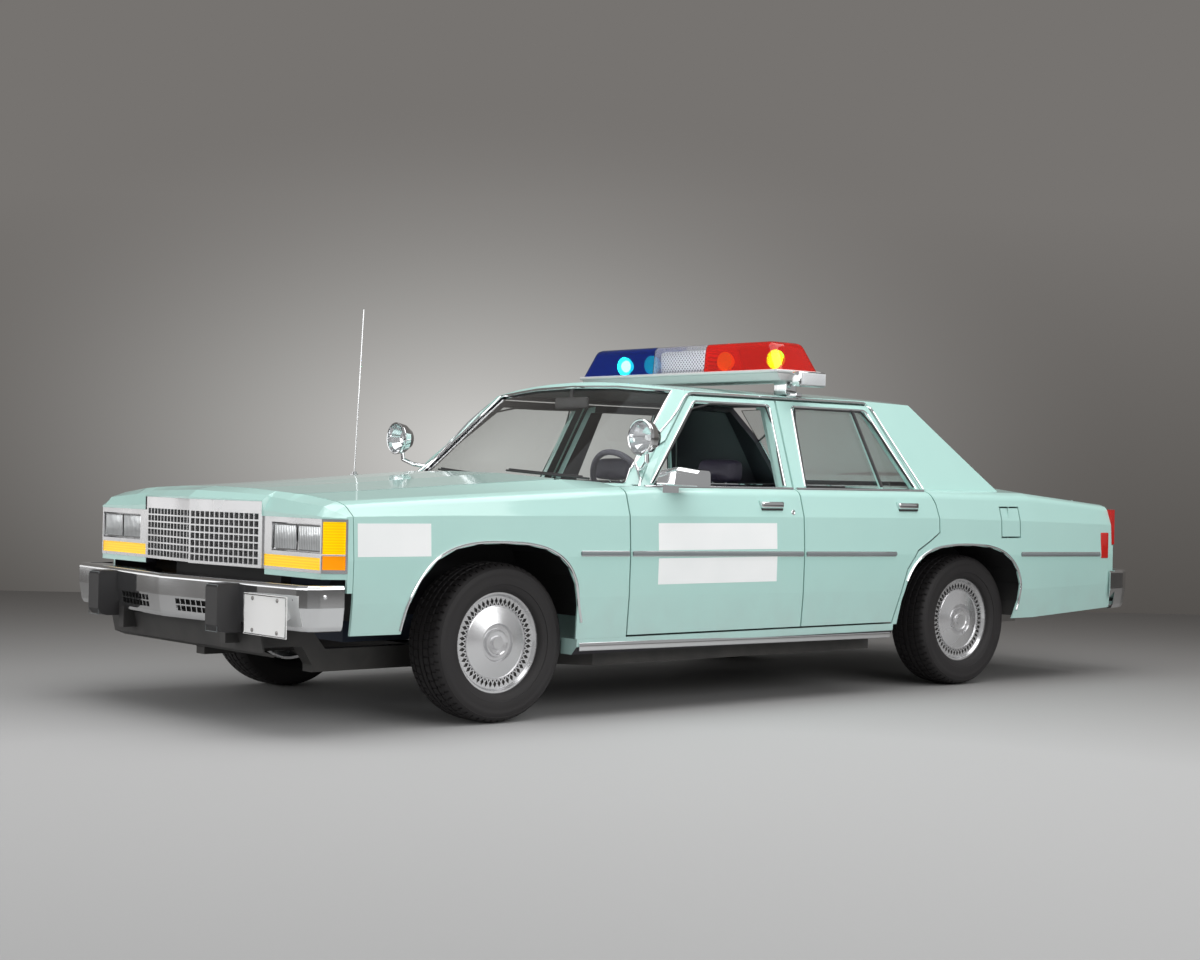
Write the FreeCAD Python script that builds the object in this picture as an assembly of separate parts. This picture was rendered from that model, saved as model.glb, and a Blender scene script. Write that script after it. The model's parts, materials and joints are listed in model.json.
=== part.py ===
import FreeCAD, Part
import math
import os

# Four-door police sedan on a separate frame, in millimetres.
# X points forward, Y to the car's left, Z up. The origin is on the ground below the
# middle of the front axle.

V = FreeCAD.Vector
PARTS = "parts"
os.makedirs(PARTS, exist_ok=True)

# ---------------------------------------------------------------- driving dimensions

WHEELBASE = 2903.0
SIDE_Y = 984.0             # centre plane to the widest part of the doors
TYRE_R = 324.0
TYRE_HALF = 110.0          # half the tyre's width at its sidewalls
BEAD_R = 200.0             # wheel rim under the tyre's bead
COVER_R = 204.0
COVER_FACE = 78.0          # wheel centre plane to the cover's outer rim
STUB_R = 18.0
KINGPIN_R = 9.0

RUNNING = 0.05             # radial clearance of a pin in its bore
SEAT = 0.3                 # gap between pieces that seat on one another
SHUT = 8.0                 # shut line round doors and fuel door
LID_GAP = 8.2              # shut line beside hood and trunk lid
HOOD_GAP = 5.5             # shut line ahead of the hood
SEAM = 3.0                 # seam between fender and header panel

DOOR_T = 60.0              # door, skin to trim
FRAME_T = 32.0             # window frames, pillars' outer layer
DOOR_SKIN_T = 20.0
PANEL_T = 8.0              # fenders and quarters
LID_T = 18.0
ROOF_T = 24.0
GLASS_T = 5.0
GLASS_IN = 12.0            # side glass behind the outer surface
SCREEN_IN = 6.0            # windshield and rear window behind the outer surface

BELT_Z = 966.0
SILL_TOP_Z = 332.0
BODY_BOTTOM_Z = 266.0
FLOOR_Z = 300.0
FLOOR_T = 8.0
DOOR_FRONT_X = -607.0
DOOR_SPLIT_X = -1650.0

HINGE_SETBACK = 75.0
HINGE_PIN_R = 4.5
HINGE_KNUCKLE_R = 9.0
HINGE_H = 26.0
HINGES_Z = (545.0, 765.0)
FUEL_PIN_R = 2.5
LID_PIN_R = 6.0
COLUMN_PIN_R = 9.0

HOOD_FRONT_X = 806.0
HOOD_REAR_X = -385.0
GRILLE_HALF = 482.0
GRILLE_TOP_Z = 878.0
GRILLE_BOTTOM_Z = 618.0
LAMP_TOP_Z = 822.0
BUMPER_TOP_Z = 577.0
BAR_HALF = 782.0           # light bar, centre to end

# places that follow from them
REAR_X = -WHEELBASE
HALF_TRACK = SIDE_Y - 194.0
KINGPIN_Y = HALF_TRACK - 100.0
TRUNK_FRONT_X = REAR_X - 442.0
TAIL_X = REAR_X - 1142.0
DOOR_BOTTOM_Z = SILL_TOP_Z + SHUT
BELT_Y = SIDE_Y - 84.0
RAIL_Y = SIDE_Y - 294.0    # cabin side where it meets the roof
HINGE_Y = SIDE_Y - 21.0
DOOR_IN_Y = SIDE_Y - DOOR_T - 44.0
PILLAR_OUT_Y = DOOR_IN_Y - 10.0
PILLAR_IN_Y = PILLAR_OUT_Y - 65.0
COWL_HALF = PILLAR_IN_Y - 10.0
FLOOR_HALF = PILLAR_IN_Y - 5.0
QUARTER_IN_Y = SIDE_Y - 384.0
KICK_Z = TYRE_R + 194.0    # floor over the rear axle
RAIL_OUT_Y = KINGPIN_Y - 220.0
RAIL_W = 70.0

# Lower body, one row per station along the car: x, side inset, lower crease z, feature line z,
# shoulder z, belt or fender-top z at BELT_Y, lid edge inset, lid edge z, crown z on centre line
STATIONS = [
    (814, 27, 504, 831, 871, 886, 344, 910, 931),
    (355, 6, 504, 838, 898, 912, 316, 938, 958),
    (-390, 0, 504, 839, 934, 950, 232, 990, 1014),
    (-720, 0, 504, 839, 945, BELT_Z, 199, 972, 990),
    (REAR_X + 343, 0, 485, 832, 948, BELT_Z, 199, 980, 992),
    (TRUNK_FRONT_X, 2, 474, 818, 938, 960, 284, 984, 996),
    (TAIL_X, 22, 488, 800, 890, 905, 294, 922, 932),
    (TAIL_X - 40, 26, 488, 795, 880, 895, 294, 912, 922),
]
BOTTOM_INSET = 52.0
ROCKER_INSET = 20.0
ROCKER_RISE = 34.0
FEATURE_INSET = 8.0
SHOULDER_INSET = 39.0
ROCKER_R = 14.0
SHOULDER_R = 44.0
BELT_R = 62.0
SHARP = 4.0                # a smaller radius is left as a corner

# Greenhouse: x, side y at the belt, side y at the rail, rail z, crown z
CABIN_STATIONS = [
    (-560, BELT_Y, RAIL_Y, 1396, 1440),
    (-1300, BELT_Y, RAIL_Y, 1396, 1448),
    (REAR_X + 553, BELT_Y, RAIL_Y, 1396, 1448),
    (REAR_X - 427, BELT_Y - 50, RAIL_Y - 80, 1380, 1420),
]
WINDSHIELD_BASE = (-590.0, 957.0)      # x, z on the centre line
WINDSHIELD_TOP = (-1098.0, 1428.0)
WINDSHIELD_R = 3600.0
# foot of the pillar beside the windshield, which falls back as it nears the side
PILLAR_X = round(WINDSHIELD_BASE[0] - WINDSHIELD_R + math.sqrt(WINDSHIELD_R ** 2 - BELT_Y ** 2))
BACKLIGHT_BASE = (REAR_X - 382.0, 985.0)
BACKLIGHT_TOP = (REAR_X + 158.0, 1425.0)
BACKLIGHT_R = 5200.0


# ---------------------------------------------------------------- shape helpers

def box(x0, x1, y0, y1, z0, z1):
    return Part.makeBox(x1 - x0, y1 - y0, z1 - z0, V(x0, y0, z0))


def prism(points, plane, start, end):
    """Extrude a closed outline drawn in the plane XZ, XY or YZ from start to end."""
    place = {
        "XZ": lambda a, b: V(a, start, b),
        "XY": lambda a, b: V(a, b, start),
        "YZ": lambda a, b: V(start, a, b),
    }[plane]
    along = {"XZ": V(0, 1, 0), "XY": V(0, 0, 1), "YZ": V(1, 0, 0)}[plane]
    wire = Part.makePolygon([place(a, b) for a, b in points] + [place(*points[0])])
    return Part.Face(wire).extrude(along * (end - start))


def skewed_prism(points, y0, y1, y_drawn, slope):
    """Outline drawn in XZ at y_drawn, extruded along Y while x grows by slope per mm."""
    start = [V(x + slope * (y0 - y_drawn), y0, z) for x, z in points]
    wire = Part.makePolygon(start + [start[0]])
    return Part.Face(wire).extrude(V(slope * (y1 - y0), y1 - y0, 0))


def rounded_wire(points, radii):
    """Closed flat wire through the points, with an arc of the given radius at each corner."""
    count = len(points)
    corners = []
    for i in range(count):
        here = points[i]
        back = (points[i - 1] - here).normalize()
        on = (points[(i + 1) % count] - here).normalize()
        if radii[i] < SHARP:
            corners.append((here, here, here))
            continue
        half_angle = back.getAngle(on) / 2
        reach = radii[i] / math.tan(half_angle)
        middle = (back + on).normalize() * (radii[i] / math.sin(half_angle) - radii[i])
        corners.append((here + back * reach, here + middle, here + on * reach))
    edges = []
    for i in range(count):
        start, middle, end = corners[i]
        if (start - end).Length > SEAT:
            edges.append(Part.Arc(start, middle, end).toShape())
        edges.append(Part.makeLine(end, corners[(i + 1) % count][0]))
    return Part.Wire(edges)


def cyl(x, y, z, radius, length, axis="Z"):
    """Cylinder centred on its length at x, y, z."""
    d = {"X": V(1, 0, 0), "Y": V(0, 1, 0), "Z": V(0, 0, 1)}[axis]
    return Part.makeCylinder(radius, length, V(x, y, z) - d * (length / 2), d)


def rod(start, end, radius):
    run = V(*end) - V(*start)
    return Part.makeCylinder(radius, run.Length, V(*start), run)


def pipe(points, radius):
    """Round bar along the points, with a ball at each corner after the first."""
    runs = []
    for a, b in zip(points, points[1:]):
        runs.append(rod(a, b, radius))
        runs.append(Part.makeSphere(radius, V(*b)))
    return fuse(runs)


def sheet(points, thickness, y0, y1):
    """Bent sheet: an open side-view line, thickened downwards, across the car."""
    below = [(x, z - thickness) for x, z in reversed(points)]
    return prism(points + below, "XZ", y0, y1)


def swept(path, section):
    """Section of (outward offset, z, corner radius) carried along a plan path, mitred at corners."""
    normals = [normal(a, b, -1) for a, b in zip(path, path[1:])]
    normals = [normals[0]] + normals + [normals[-1]]
    wires = []
    for (x, y), n1, n2 in zip(path, normals, normals[1:]):
        scale = 1 / (1 + n1[0] * n2[0] + n1[1] * n2[1])
        mitre = ((n1[0] + n2[0]) * scale, (n1[1] + n2[1]) * scale)
        points = [V(x + mitre[0] * d, y + mitre[1] * d, z) for d, z, r in section]
        wires.append(rounded_wire(points, [r for d, z, r in section]))
    return Part.makeLoft(wires, True, True)


def fuse(shapes):
    shapes = list(shapes)
    if len(shapes) == 1:
        return shapes[0]
    return shapes[0].multiFuse(shapes[1:]).removeSplitter()


def mirrored(shape):
    return shape.mirror(V(0, 0, 0), V(0, 1, 0))


def both(shape):
    return Part.Compound([shape, mirrored(shape)])


def solids(shape):
    return Part.Compound(shape.Solids)


def largest(shape):
    return max(shape.Solids, key=lambda s: s.Volume)


def save(node, shape):
    made = solids(shape)
    made.exportStep(os.path.join(PARTS, node + ".step"))
    print(node, len(made.Solids), "solids", made.isValid())


def across(half):
    """Closed outline from half of it, given from the centre plane outwards and back."""
    return half + [(a, -b) for a, b in reversed(half) if b > 0]


def grown(points, d):
    """Offset a closed outline outwards by d (inwards if negative), corners kept sharp."""
    count = len(points)
    area = sum(points[i][0] * points[(i + 1) % count][1]
               - points[(i + 1) % count][0] * points[i][1] for i in range(count))
    turn = 1 if area > 0 else -1
    result = []
    for i in range(count):
        before, here, after = points[i - 1], points[i], points[(i + 1) % count]
        n1 = normal(before, here, turn)
        n2 = normal(here, after, turn)
        scale = d / (1 + n1[0] * n2[0] + n1[1] * n2[1])
        result.append((here[0] + (n1[0] + n2[0]) * scale, here[1] + (n1[1] + n2[1]) * scale))
    return result


def normal(a, b, turn):
    dx, dz = b[0] - a[0], b[1] - a[1]
    length = math.hypot(dx, dz)
    return (turn * dz / length, -turn * dx / length)


def round_wheel(wheel_x, rows):
    """Side-view points from rows of (angle in degrees, distance beyond the tyre's tread)."""
    points = []
    for angle, gap in rows:
        turn = math.radians(angle)
        points.append((wheel_x + (TYRE_R + gap) * math.cos(turn),
                       TYRE_R + (TYRE_R + gap) * math.sin(turn)))
    return points


# ---------------------------------------------------------------- body surfaces

def lower_profile(row):
    """Half section of the lower body: y, z and corner radius, from the bottom to the crown."""
    x, inset, crease_z, feature_z, shoulder_z, belt_z, edge_inset, edge_z, crown_z = row
    half = SIDE_Y - inset
    edge_y = SIDE_Y - edge_inset
    return [
        (half - BOTTOM_INSET, BODY_BOTTOM_Z, 0),
        (half - ROCKER_INSET, BODY_BOTTOM_Z + ROCKER_RISE, ROCKER_R),
        (half - 4, crease_z, 0),
        (half, (crease_z + feature_z) / 2, 0),
        (half - FEATURE_INSET, feature_z, 0),
        (half - SHOULDER_INSET, shoulder_z, SHOULDER_R),
        (half - SHOULDER_INSET - 45, belt_z, BELT_R),
        (edge_y, edge_z, 0),
        (edge_y * 0.45, edge_z + 0.8 * (crown_z - edge_z), 0),
        (0, crown_z, 0),
    ]


def lower_body(inset=0.0):
    wires = []
    for row in STATIONS:
        profile = lower_profile(row)
        points = [(y, z) for y, z, r in profile]
        if inset:
            ring = points + [(0, BODY_BOTTOM_Z - 400)]
            points = grown(ring, -inset)[:len(points)]
            points[-1] = (0, row[-1] - inset)
            points[0] = (points[0][0], BODY_BOTTOM_Z - 60)
        radii = [max(r - inset, 0) for y, z, r in profile]
        loop = points + [(-y, z) for y, z in reversed(points[:-1])]
        radii = radii + list(reversed(radii[:-1]))
        wires.append(rounded_wire([V(row[0], y, z) for y, z in loop], radii))
    return Part.makeLoft(wires, True, True)


def cabin_section(row, inset):
    x, belt_y, rail_y, rail_z, crown_z = row
    lean = math.atan2(belt_y - rail_y, rail_z - BELT_Z)
    side = inset / math.cos(lean)
    foot_z = BELT_Z - 60
    foot_y = belt_y + 60 * math.tan(lean) - side
    top_y = rail_y - side + (inset * 0.7) * math.tan(lean)
    top_z = rail_z - inset * 0.7
    shape = [
        Part.makeLine(V(x, -foot_y, foot_z), V(x, foot_y, foot_z)),
        Part.makeLine(V(x, foot_y, foot_z), V(x, top_y, top_z)),
        Part.Arc(V(x, top_y, top_z), V(x, 0, crown_z - inset), V(x, -top_y, top_z)).toShape(),
        Part.makeLine(V(x, -top_y, top_z), V(x, -foot_y, foot_z)),
    ]
    return Part.Wire(shape)


def raked_cylinder(base, top, radius, inset):
    """Solid cylinder whose wall passes through the centre line of a curved screen."""
    dx, dz = top[0] - base[0], top[1] - base[1]
    length = math.hypot(dx, dz)
    along = V(dx / length, 0, dz / length)
    inward = V(-dz / length, 0, dx / length)
    if inward.z > 0:
        inward = inward * -1
    start = V(base[0], 0, base[1]) + inward * radius - along * WHEELBASE
    return Part.makeCylinder(radius - inset, length + 2 * WHEELBASE, start, along)


def cabin_block(inset):
    return Part.makeLoft([cabin_section(row, inset) for row in CABIN_STATIONS], True, True)


def greenhouse(inset=0.0):
    body = cabin_block(inset)
    body = body.common(raked_cylinder(WINDSHIELD_BASE, WINDSHIELD_TOP, WINDSHIELD_R, inset))
    return body.common(raked_cylinder(BACKLIGHT_BASE, BACKLIGHT_TOP, BACKLIGHT_R, inset))


LOWER = lower_body()
CABIN = greenhouse()
CABIN_SKIN = CABIN.cut(greenhouse(FRAME_T))
SIDE_LAYER = CABIN.cut(cabin_block(FRAME_T))
FRAME_ROOM = CABIN.cut(cabin_block(FRAME_T + SHUT))
THIN_SKIN = LOWER.cut(lower_body(PANEL_T))
DOOR_SKIN = LOWER.cut(lower_body(DOOR_SKIN_T))
DOOR_SHELL = LOWER.cut(lower_body(DOOR_T))
LID_SKIN = LOWER.cut(lower_body(LID_T))
print("surfaces made")

# ---------------------------------------------------------------- outlines, side view

# angle round the wheel, distance beyond the tread
FRONT_ARCH = round_wheel(0, [
    (-12.5, 250), (5.4, 213), (18.2, 208), (30.6, 199), (41.9, 187), (52.9, 157), (65.9, 117),
    (81.6, 84), (98.6, 77), (111.6, 84), (122.3, 88), (132.4, 84), (142.7, 66), (155.9, 34),
    (-159.5, 29)])
REAR_ARCH = round_wheel(REAR_X, [
    (-11.4, 301), (-2.0, 273), (11.5, 256), (21.2, 246), (31.2, 229), (40.7, 194), (51.2, 143),
    (66.5, 84), (84.9, 50), (103.4, 50), (119.0, 62), (131.7, 70), (142.3, 70), (152.4, 56),
    (163.7, 19), (179.2, -32), (-156.3, -16)])
FRONT_DOOR_LOW = [(DOOR_FRONT_X, DOOR_BOTTOM_Z), (DOOR_FRONT_X, BELT_Z), (DOOR_SPLIT_X, BELT_Z),
                  (DOOR_SPLIT_X, DOOR_BOTTOM_Z)]
REAR_DOOR_FOOT = round_wheel(REAR_X, [(47.7, 222), (37.6, 260), (26.3, 276), (14.1, 277)])
REAR_DOOR_LOW = [(DOOR_SPLIT_X - SHUT, DOOR_BOTTOM_Z), (DOOR_SPLIT_X - SHUT, BELT_Z),
                 (REAR_X + 347, BELT_Z), (REAR_X + 313, 900), (REAR_X + 303, 830),
                 (REAR_X + 303, 765)] + REAR_DOOR_FOOT + [(REAR_X + 631, DOOR_BOTTOM_Z)]


def hood_outline(margin):
    """Plan of the hood, from the nose back to the cowl, widening to the rear."""
    half = [(HOOD_FRONT_X, 0), (HOOD_FRONT_X - 5, SIDE_Y - 504), (HOOD_FRONT_X - 13, SIDE_Y - 366),
            (HOOD_FRONT_X - 36, SIDE_Y - 336), (355, SIDE_Y - 316), (HOOD_REAR_X + 20, SIDE_Y - 234),
            (HOOD_REAR_X, SIDE_Y - 249), (HOOD_REAR_X - 14, 0)]
    return grown(across(half), margin)


# ---------------------------------------------------------------- doors

# Window frames and their glass, side view. A frame leans in with the cabin side, so its upright
# edges are cut along the path they take as their door starts to open.
FRAME_LOW_Z = BELT_Z - 8
FRAME_TOP_Z = 1372.0
WINDOW_LOW_Z = BELT_Z + 4
WINDOW_TOP_Z = 1340.0
FRONT_FRAME = [(PILLAR_X - 34, FRAME_LOW_Z), (PILLAR_X - 476, FRAME_TOP_Z),
               (DOOR_SPLIT_X - 72, FRAME_TOP_Z), (DOOR_SPLIT_X, FRAME_LOW_Z)]
REAR_FRAME = [(DOOR_SPLIT_X - 12, FRAME_LOW_Z), (DOOR_SPLIT_X - 84, FRAME_TOP_Z),
              (REAR_X + 531, FRAME_TOP_Z), (REAR_X + 341, FRAME_LOW_Z)]
FRONT_WINDOW = [(PILLAR_X - 96, WINDOW_LOW_Z), (PILLAR_X - 496, WINDOW_TOP_Z),
                (DOOR_SPLIT_X - 18, WINDOW_TOP_Z), (DOOR_SPLIT_X + 52, WINDOW_LOW_Z)]
REAR_WINDOW = [(DOOR_SPLIT_X - 95, WINDOW_LOW_Z), (DOOR_SPLIT_X - 186, WINDOW_TOP_Z),
               (REAR_X + 573, WINDOW_TOP_Z), (REAR_X + 388, WINDOW_LOW_Z)]
DIVISION_BAR = [(REAR_X + 628, WINDOW_LOW_Z - 4), (REAR_X + 651, WINDOW_TOP_Z + 4),
                (REAR_X + 665, WINDOW_TOP_Z + 4), (REAR_X + 642, WINDOW_LOW_Z - 4)]
FRONT_SLOPE = -0.2
REAR_SLOPE = -0.4
FRAME_IN_Y = RAIL_Y - 42.0  # the frames reach no further in than this
WINDOW_IN_Y = RAIL_Y - 190.0
OUT_Y = SIDE_Y + 116.0      # clear of the car's side
FAR = 400.0


def side_y(z):
    """Half width of the cabin's side at height z."""
    row = CABIN_STATIONS[0]
    return row[1] - (row[1] - row[2]) * (z - BELT_Z) / (row[3] - BELT_Z)


def sloped(points, slope):
    drawn = [(x - slope * (side_y(z) - BELT_Y), z) for x, z in points]
    return skewed_prism(drawn, FRAME_IN_Y, SIDE_Y + 16, BELT_Y, slope)


def front_frame_prism(margin=0.0):
    return sloped(grown(FRONT_FRAME, margin), FRONT_SLOPE)


def rear_frame_prism(margin=0.0):
    """Front edge parallel to the front door's, rear edge on the rear door's own path."""
    low_front, high_front, high_rear, low_rear = grown(REAR_FRAME, margin)
    ahead = [low_front, high_front, (high_rear[0] - FAR, high_rear[1]), (low_rear[0] - FAR, low_rear[1])]
    behind = [(low_front[0] + FAR, low_front[1]), (high_front[0] + FAR, high_front[1]), high_rear,
              low_rear]
    return sloped(ahead, FRONT_SLOPE).common(sloped(behind, REAR_SLOPE))


def window_prism(points, margin=0.0):
    return prism(grown(points, margin), "XZ", WINDOW_IN_Y, OUT_Y)


def inset_front(points, front_x, setback):
    return [(min(x, front_x - setback), z) for x, z in points]


def hinge_pocket(pin_x, z):
    return box(pin_x - 42, pin_x + HINGE_SETBACK - 14, DOOR_IN_Y - 40, HINGE_Y + HINGE_KNUCKLE_R + 2,
               z - HINGE_H - 19, z + HINGE_H + 19)


def door_knuckles(pin_x):
    """Two rings on the door above and below the pillar's arm, at both hinges."""
    made = []
    for z in HINGES_Z:
        for side in (-1, 1):
            centre = z + side * (HINGE_H / 2 + SEAT + 12)
            ring = cyl(pin_x, HINGE_Y, centre, HINGE_KNUCKLE_R, 24)
            web = box(pin_x - 9, pin_x + 9, HINGE_Y, HINGE_Y + 34, centre - 12, centre + 12)
            bore = cyl(pin_x, HINGE_Y, centre, HINGE_PIN_R + RUNNING, 30)
            made.append(ring.fuse(web.common(LOWER)).cut(bore))
    return made


def pillar_hinges(pin_x):
    """Arms with their pins, carried by the pillar in front of the door."""
    made = []
    for z in HINGES_Z:
        arm = box(pin_x - 11, pin_x + 11, PILLAR_OUT_Y - 2, HINGE_Y, z - HINGE_H / 2, z + HINGE_H / 2)
        head = cyl(pin_x, HINGE_Y, z, HINGE_KNUCKLE_R, HINGE_H)
        pin = cyl(pin_x, HINGE_Y, z, HINGE_PIN_R, HINGE_H + 50)
        made.append(fuse([arm, head, pin]))
    return made


def door(low, frame, window, front_x, handle_x, extra):
    pin_x = front_x - HINGE_SETBACK
    skin = DOOR_SKIN.common(prism(low, "XZ", DOOR_IN_Y, OUT_Y))
    under_belt = [(x, BELT_Z - 12 if z > BELT_Z - 40 else z) for x, z in grown(low, -22)]
    inner_outline = inset_front(under_belt, front_x, 42)
    inner = DOOR_SHELL.common(prism(inner_outline, "XZ", DOOR_IN_Y, OUT_Y))
    upper = SIDE_LAYER.common(frame).cut(window_prism(window))
    body = fuse([skin, inner, upper] + extra)
    for z in HINGES_Z:
        body = body.cut(hinge_pocket(pin_x, z))
    body = fuse([largest(body)] + door_knuckles(pin_x) + [door_handle(handle_x)])
    return largest(body)


def door_handle(x):
    """Pull handle on its base plate."""
    plate = box(x - 75, x + 75, SIDE_Y - 54, SIDE_Y - 22, 868, 908)
    pull = box(x - 68, x + 68, SIDE_Y - 29, SIDE_Y - 10, 876, 902)
    return fuse([plate, pull])


def door_glass(window):
    pane = greenhouse(GLASS_IN).cut(greenhouse(GLASS_IN + GLASS_T))
    return largest(pane.common(window_prism(window, -SEAT)))


division_bar = CABIN.cut(cabin_block(GLASS_IN - SEAT)).common(
    prism(DIVISION_BAR, "XZ", WINDOW_IN_Y, OUT_Y))
front_door = door(FRONT_DOOR_LOW, front_frame_prism(), FRONT_WINDOW, DOOR_FRONT_X,
                  DOOR_SPLIT_X + 195, [])
rear_door = door(REAR_DOOR_LOW, rear_frame_prism(), REAR_WINDOW, DOOR_SPLIT_X - SHUT,
                 REAR_X + 523, [division_bar])
front_glass = door_glass(FRONT_WINDOW)
rear_glass = door_glass(REAR_WINDOW)
save("front_door_left", front_door)
save("front_door_right", mirrored(front_door))
save("rear_door_left", rear_door)
save("rear_door_right", mirrored(rear_door))
save("front_door_right_glass", mirrored(front_glass))
save("rear_door_left_glass", rear_glass)
save("rear_door_right_glass", mirrored(rear_glass))

# Driver's mirror: y of the section, then its four corners from front bottom round to rear bottom
MIRROR_SECTIONS = [
    (SIDE_Y - 74, [(-806, 969), (-832, 1040), (-905, 1034), (-910, 969)]),
    (SIDE_Y + 6, [(-836, 968), (-850, 1052), (-948, 1046), (-956, 968)]),
    (SIDE_Y + 94, [(-884, 967), (-890, 1038), (-964, 1034), (-968, 967)]),
]
mirror_body = Part.makeLoft([rounded_wire([V(x, y, z) for x, z in corners], [8, 26, 14, 8])
                             for y, corners in MIRROR_SECTIONS], True, True)
mirror_face = prism([(-972, 974), (-960, 974), (-954, 1032), (-966, 1032)], "XZ", SIDE_Y - 16, SIDE_Y + 84)
mirror_foot = box(-905, -812, SIDE_Y - 79, SIDE_Y - 39, 930, 975).cut(LOWER)
mirror_foot = max(mirror_foot.Solids, key=lambda s: s.BoundBox.ZMax)
save("door_mirror", fuse([mirror_foot, mirror_body.cut(mirror_face).cut(LOWER).cut(SIDE_LAYER)]))

# ---------------------------------------------------------------- body sides and roof

RAIL_BOTTOM_Z = FRAME_TOP_Z + SHUT
ROOF_SPLIT_Z = 1396.0
FENDER_BOTTOM_Z = 384.0
SCREEN_OUTLINE = [(-(SIDE_Y - 208), 974), (SIDE_Y - 208, 974), (SIDE_Y - 362, 1386), (300, 1410),
                  (0, 1416), (-300, 1410), (-(SIDE_Y - 362), 1386)]
BACKLIGHT_OUTLINE = [(-(SIDE_Y - 316), 1006), (SIDE_Y - 316, 1006), (SIDE_Y - 439, 1382), (0, 1396),
                     (-(SIDE_Y - 439), 1382)]


def screen_prism(margin=0.0):
    return prism(grown(SCREEN_OUTLINE, margin), "YZ", -1400, -400)


def backlight_prism(margin=0.0):
    return prism(grown(BACKLIGHT_OUTLINE, margin), "YZ", REAR_X - 597, REAR_X + 403)


def deck_outline(margin):
    """Plan of the trunk lid."""
    half = [(TRUNK_FRONT_X, 0), (TRUNK_FRONT_X, SIDE_Y - 320), (TRUNK_FRONT_X - 30, SIDE_Y - 294),
            (TAIL_X - 155, SIDE_Y - 294)]
    return grown(across(half), margin)


def body_side():
    post_back_x = DOOR_FRONT_X - 135
    upper = CABIN_SKIN.common(box(REAR_X - 497, -560, QUARTER_IN_Y, OUT_Y, 900, ROOF_SPLIT_Z))
    upper = upper.cut(box(-900, -500, 0, COWL_HALF + SEAT, 800, SCREEN_OUTLINE[0][1]))
    upper = upper.cut(screen_prism()).cut(backlight_prism())
    upper = upper.cut(box(REAR_X + 303, post_back_x, QUARTER_IN_Y, OUT_Y, 850, BELT_Z + 4))
    upper = upper.cut(box(REAR_X + 303, -600, PILLAR_OUT_Y, OUT_Y, 850, BELT_Z + 4))
    inner_rail = CABIN.cut(greenhouse(FRAME_T + 63)).common(
        box(REAR_X + 303, PILLAR_X - 466, RAIL_Y - 100, OUT_Y, RAIL_BOTTOM_Z, ROOF_SPLIT_Z))
    quarter = THIN_SKIN.common(box(TAIL_X, REAR_X + 703, QUARTER_IN_Y, OUT_Y, 328, 1100))
    quarter = quarter.cut(prism(REAR_ARCH, "XZ", QUARTER_IN_Y, OUT_Y))
    quarter = quarter.cut(prism([(REAR_X - 247, 100), (REAR_X - 247, 318), (TAIL_X - 50, 362),
                                 (TAIL_X - 50, 100)], "XZ", QUARTER_IN_Y, OUT_Y))
    quarter = quarter.cut(prism(deck_outline(LID_GAP), "XY", 700, 1100))
    rocker = LOWER.common(box(REAR_X + 615, -TYRE_R - 11, PILLAR_OUT_Y - 8, OUT_Y,
                              BODY_BOTTOM_Z, SILL_TOP_Z))
    hinge_post = box(post_back_x, -615, PILLAR_IN_Y, PILLAR_OUT_Y, BODY_BOTTOM_Z + 10, 925)
    b_post_low = box(DOOR_SPLIT_X - 120, DOOR_SPLIT_X + 10, PILLAR_IN_Y, PILLAR_OUT_Y,
                     BODY_BOTTOM_Z + 10, 925)
    b_layer = greenhouse(FRAME_T + 25).cut(greenhouse(FRAME_T + 63))
    b_outline = [(DOOR_SPLIT_X + 10, 900), (DOOR_SPLIT_X - 80, ROOF_SPLIT_Z),
                 (DOOR_SPLIT_X - 150, ROOF_SPLIT_Z), (DOOR_SPLIT_X - 110, 900)]
    b_post_high = b_layer.common(prism(b_outline, "XZ", RAIL_Y - 102, OUT_Y))
    post_head = box(-712, -615, PILLAR_IN_Y, PILLAR_OUT_Y, 900, 974).common(CABIN)
    sill_inner = box(REAR_X + 615, -600, PILLAR_IN_Y, PILLAR_OUT_Y, BODY_BOTTOM_Z + 10, SILL_TOP_Z - 4)
    shape = fuse([upper, inner_rail, quarter])
    shape = shape.cut(prism(grown(FRONT_DOOR_LOW, SHUT), "XZ", DOOR_IN_Y, OUT_Y))
    shape = shape.cut(prism(grown(REAR_DOOR_LOW, SHUT), "XZ", DOOR_IN_Y, OUT_Y))
    shape = shape.cut(front_frame_prism(SHUT).common(FRAME_ROOM))
    shape = shape.cut(rear_frame_prism(SHUT).common(FRAME_ROOM))
    shape = fuse([shape, rocker, sill_inner, hinge_post, post_head, b_post_low, b_post_high]
                 + pillar_hinges(DOOR_FRONT_X - HINGE_SETBACK)
                 + pillar_hinges(DOOR_SPLIT_X - SHUT - HINGE_SETBACK))
    return shape


FUEL_DOOR = [(REAR_X - 187, 742), (REAR_X - 187, 884), (REAR_X - 329, 884), (REAR_X - 329, 742)]
FUEL_PIN = (REAR_X - 242, SIDE_Y - 18, 813.0)
FUEL_POCKET_Y = SIDE_Y - 104
FUEL_KNUCKLE_R = 5.5


def fuel_pocket():
    """Cup behind the fuel door, with the door's hinge pin between floor and roof."""
    gap = grown(FUEL_DOOR, SHUT)
    cup = prism(grown(gap, 6), "XZ", FUEL_POCKET_Y - 6, OUT_Y)
    cup = cup.cut(prism(gap, "XZ", FUEL_POCKET_Y, OUT_Y)).common(lower_body(2))
    return cup.fuse(cyl(*FUEL_PIN, FUEL_PIN_R, 142 + 2 * SHUT))


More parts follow.
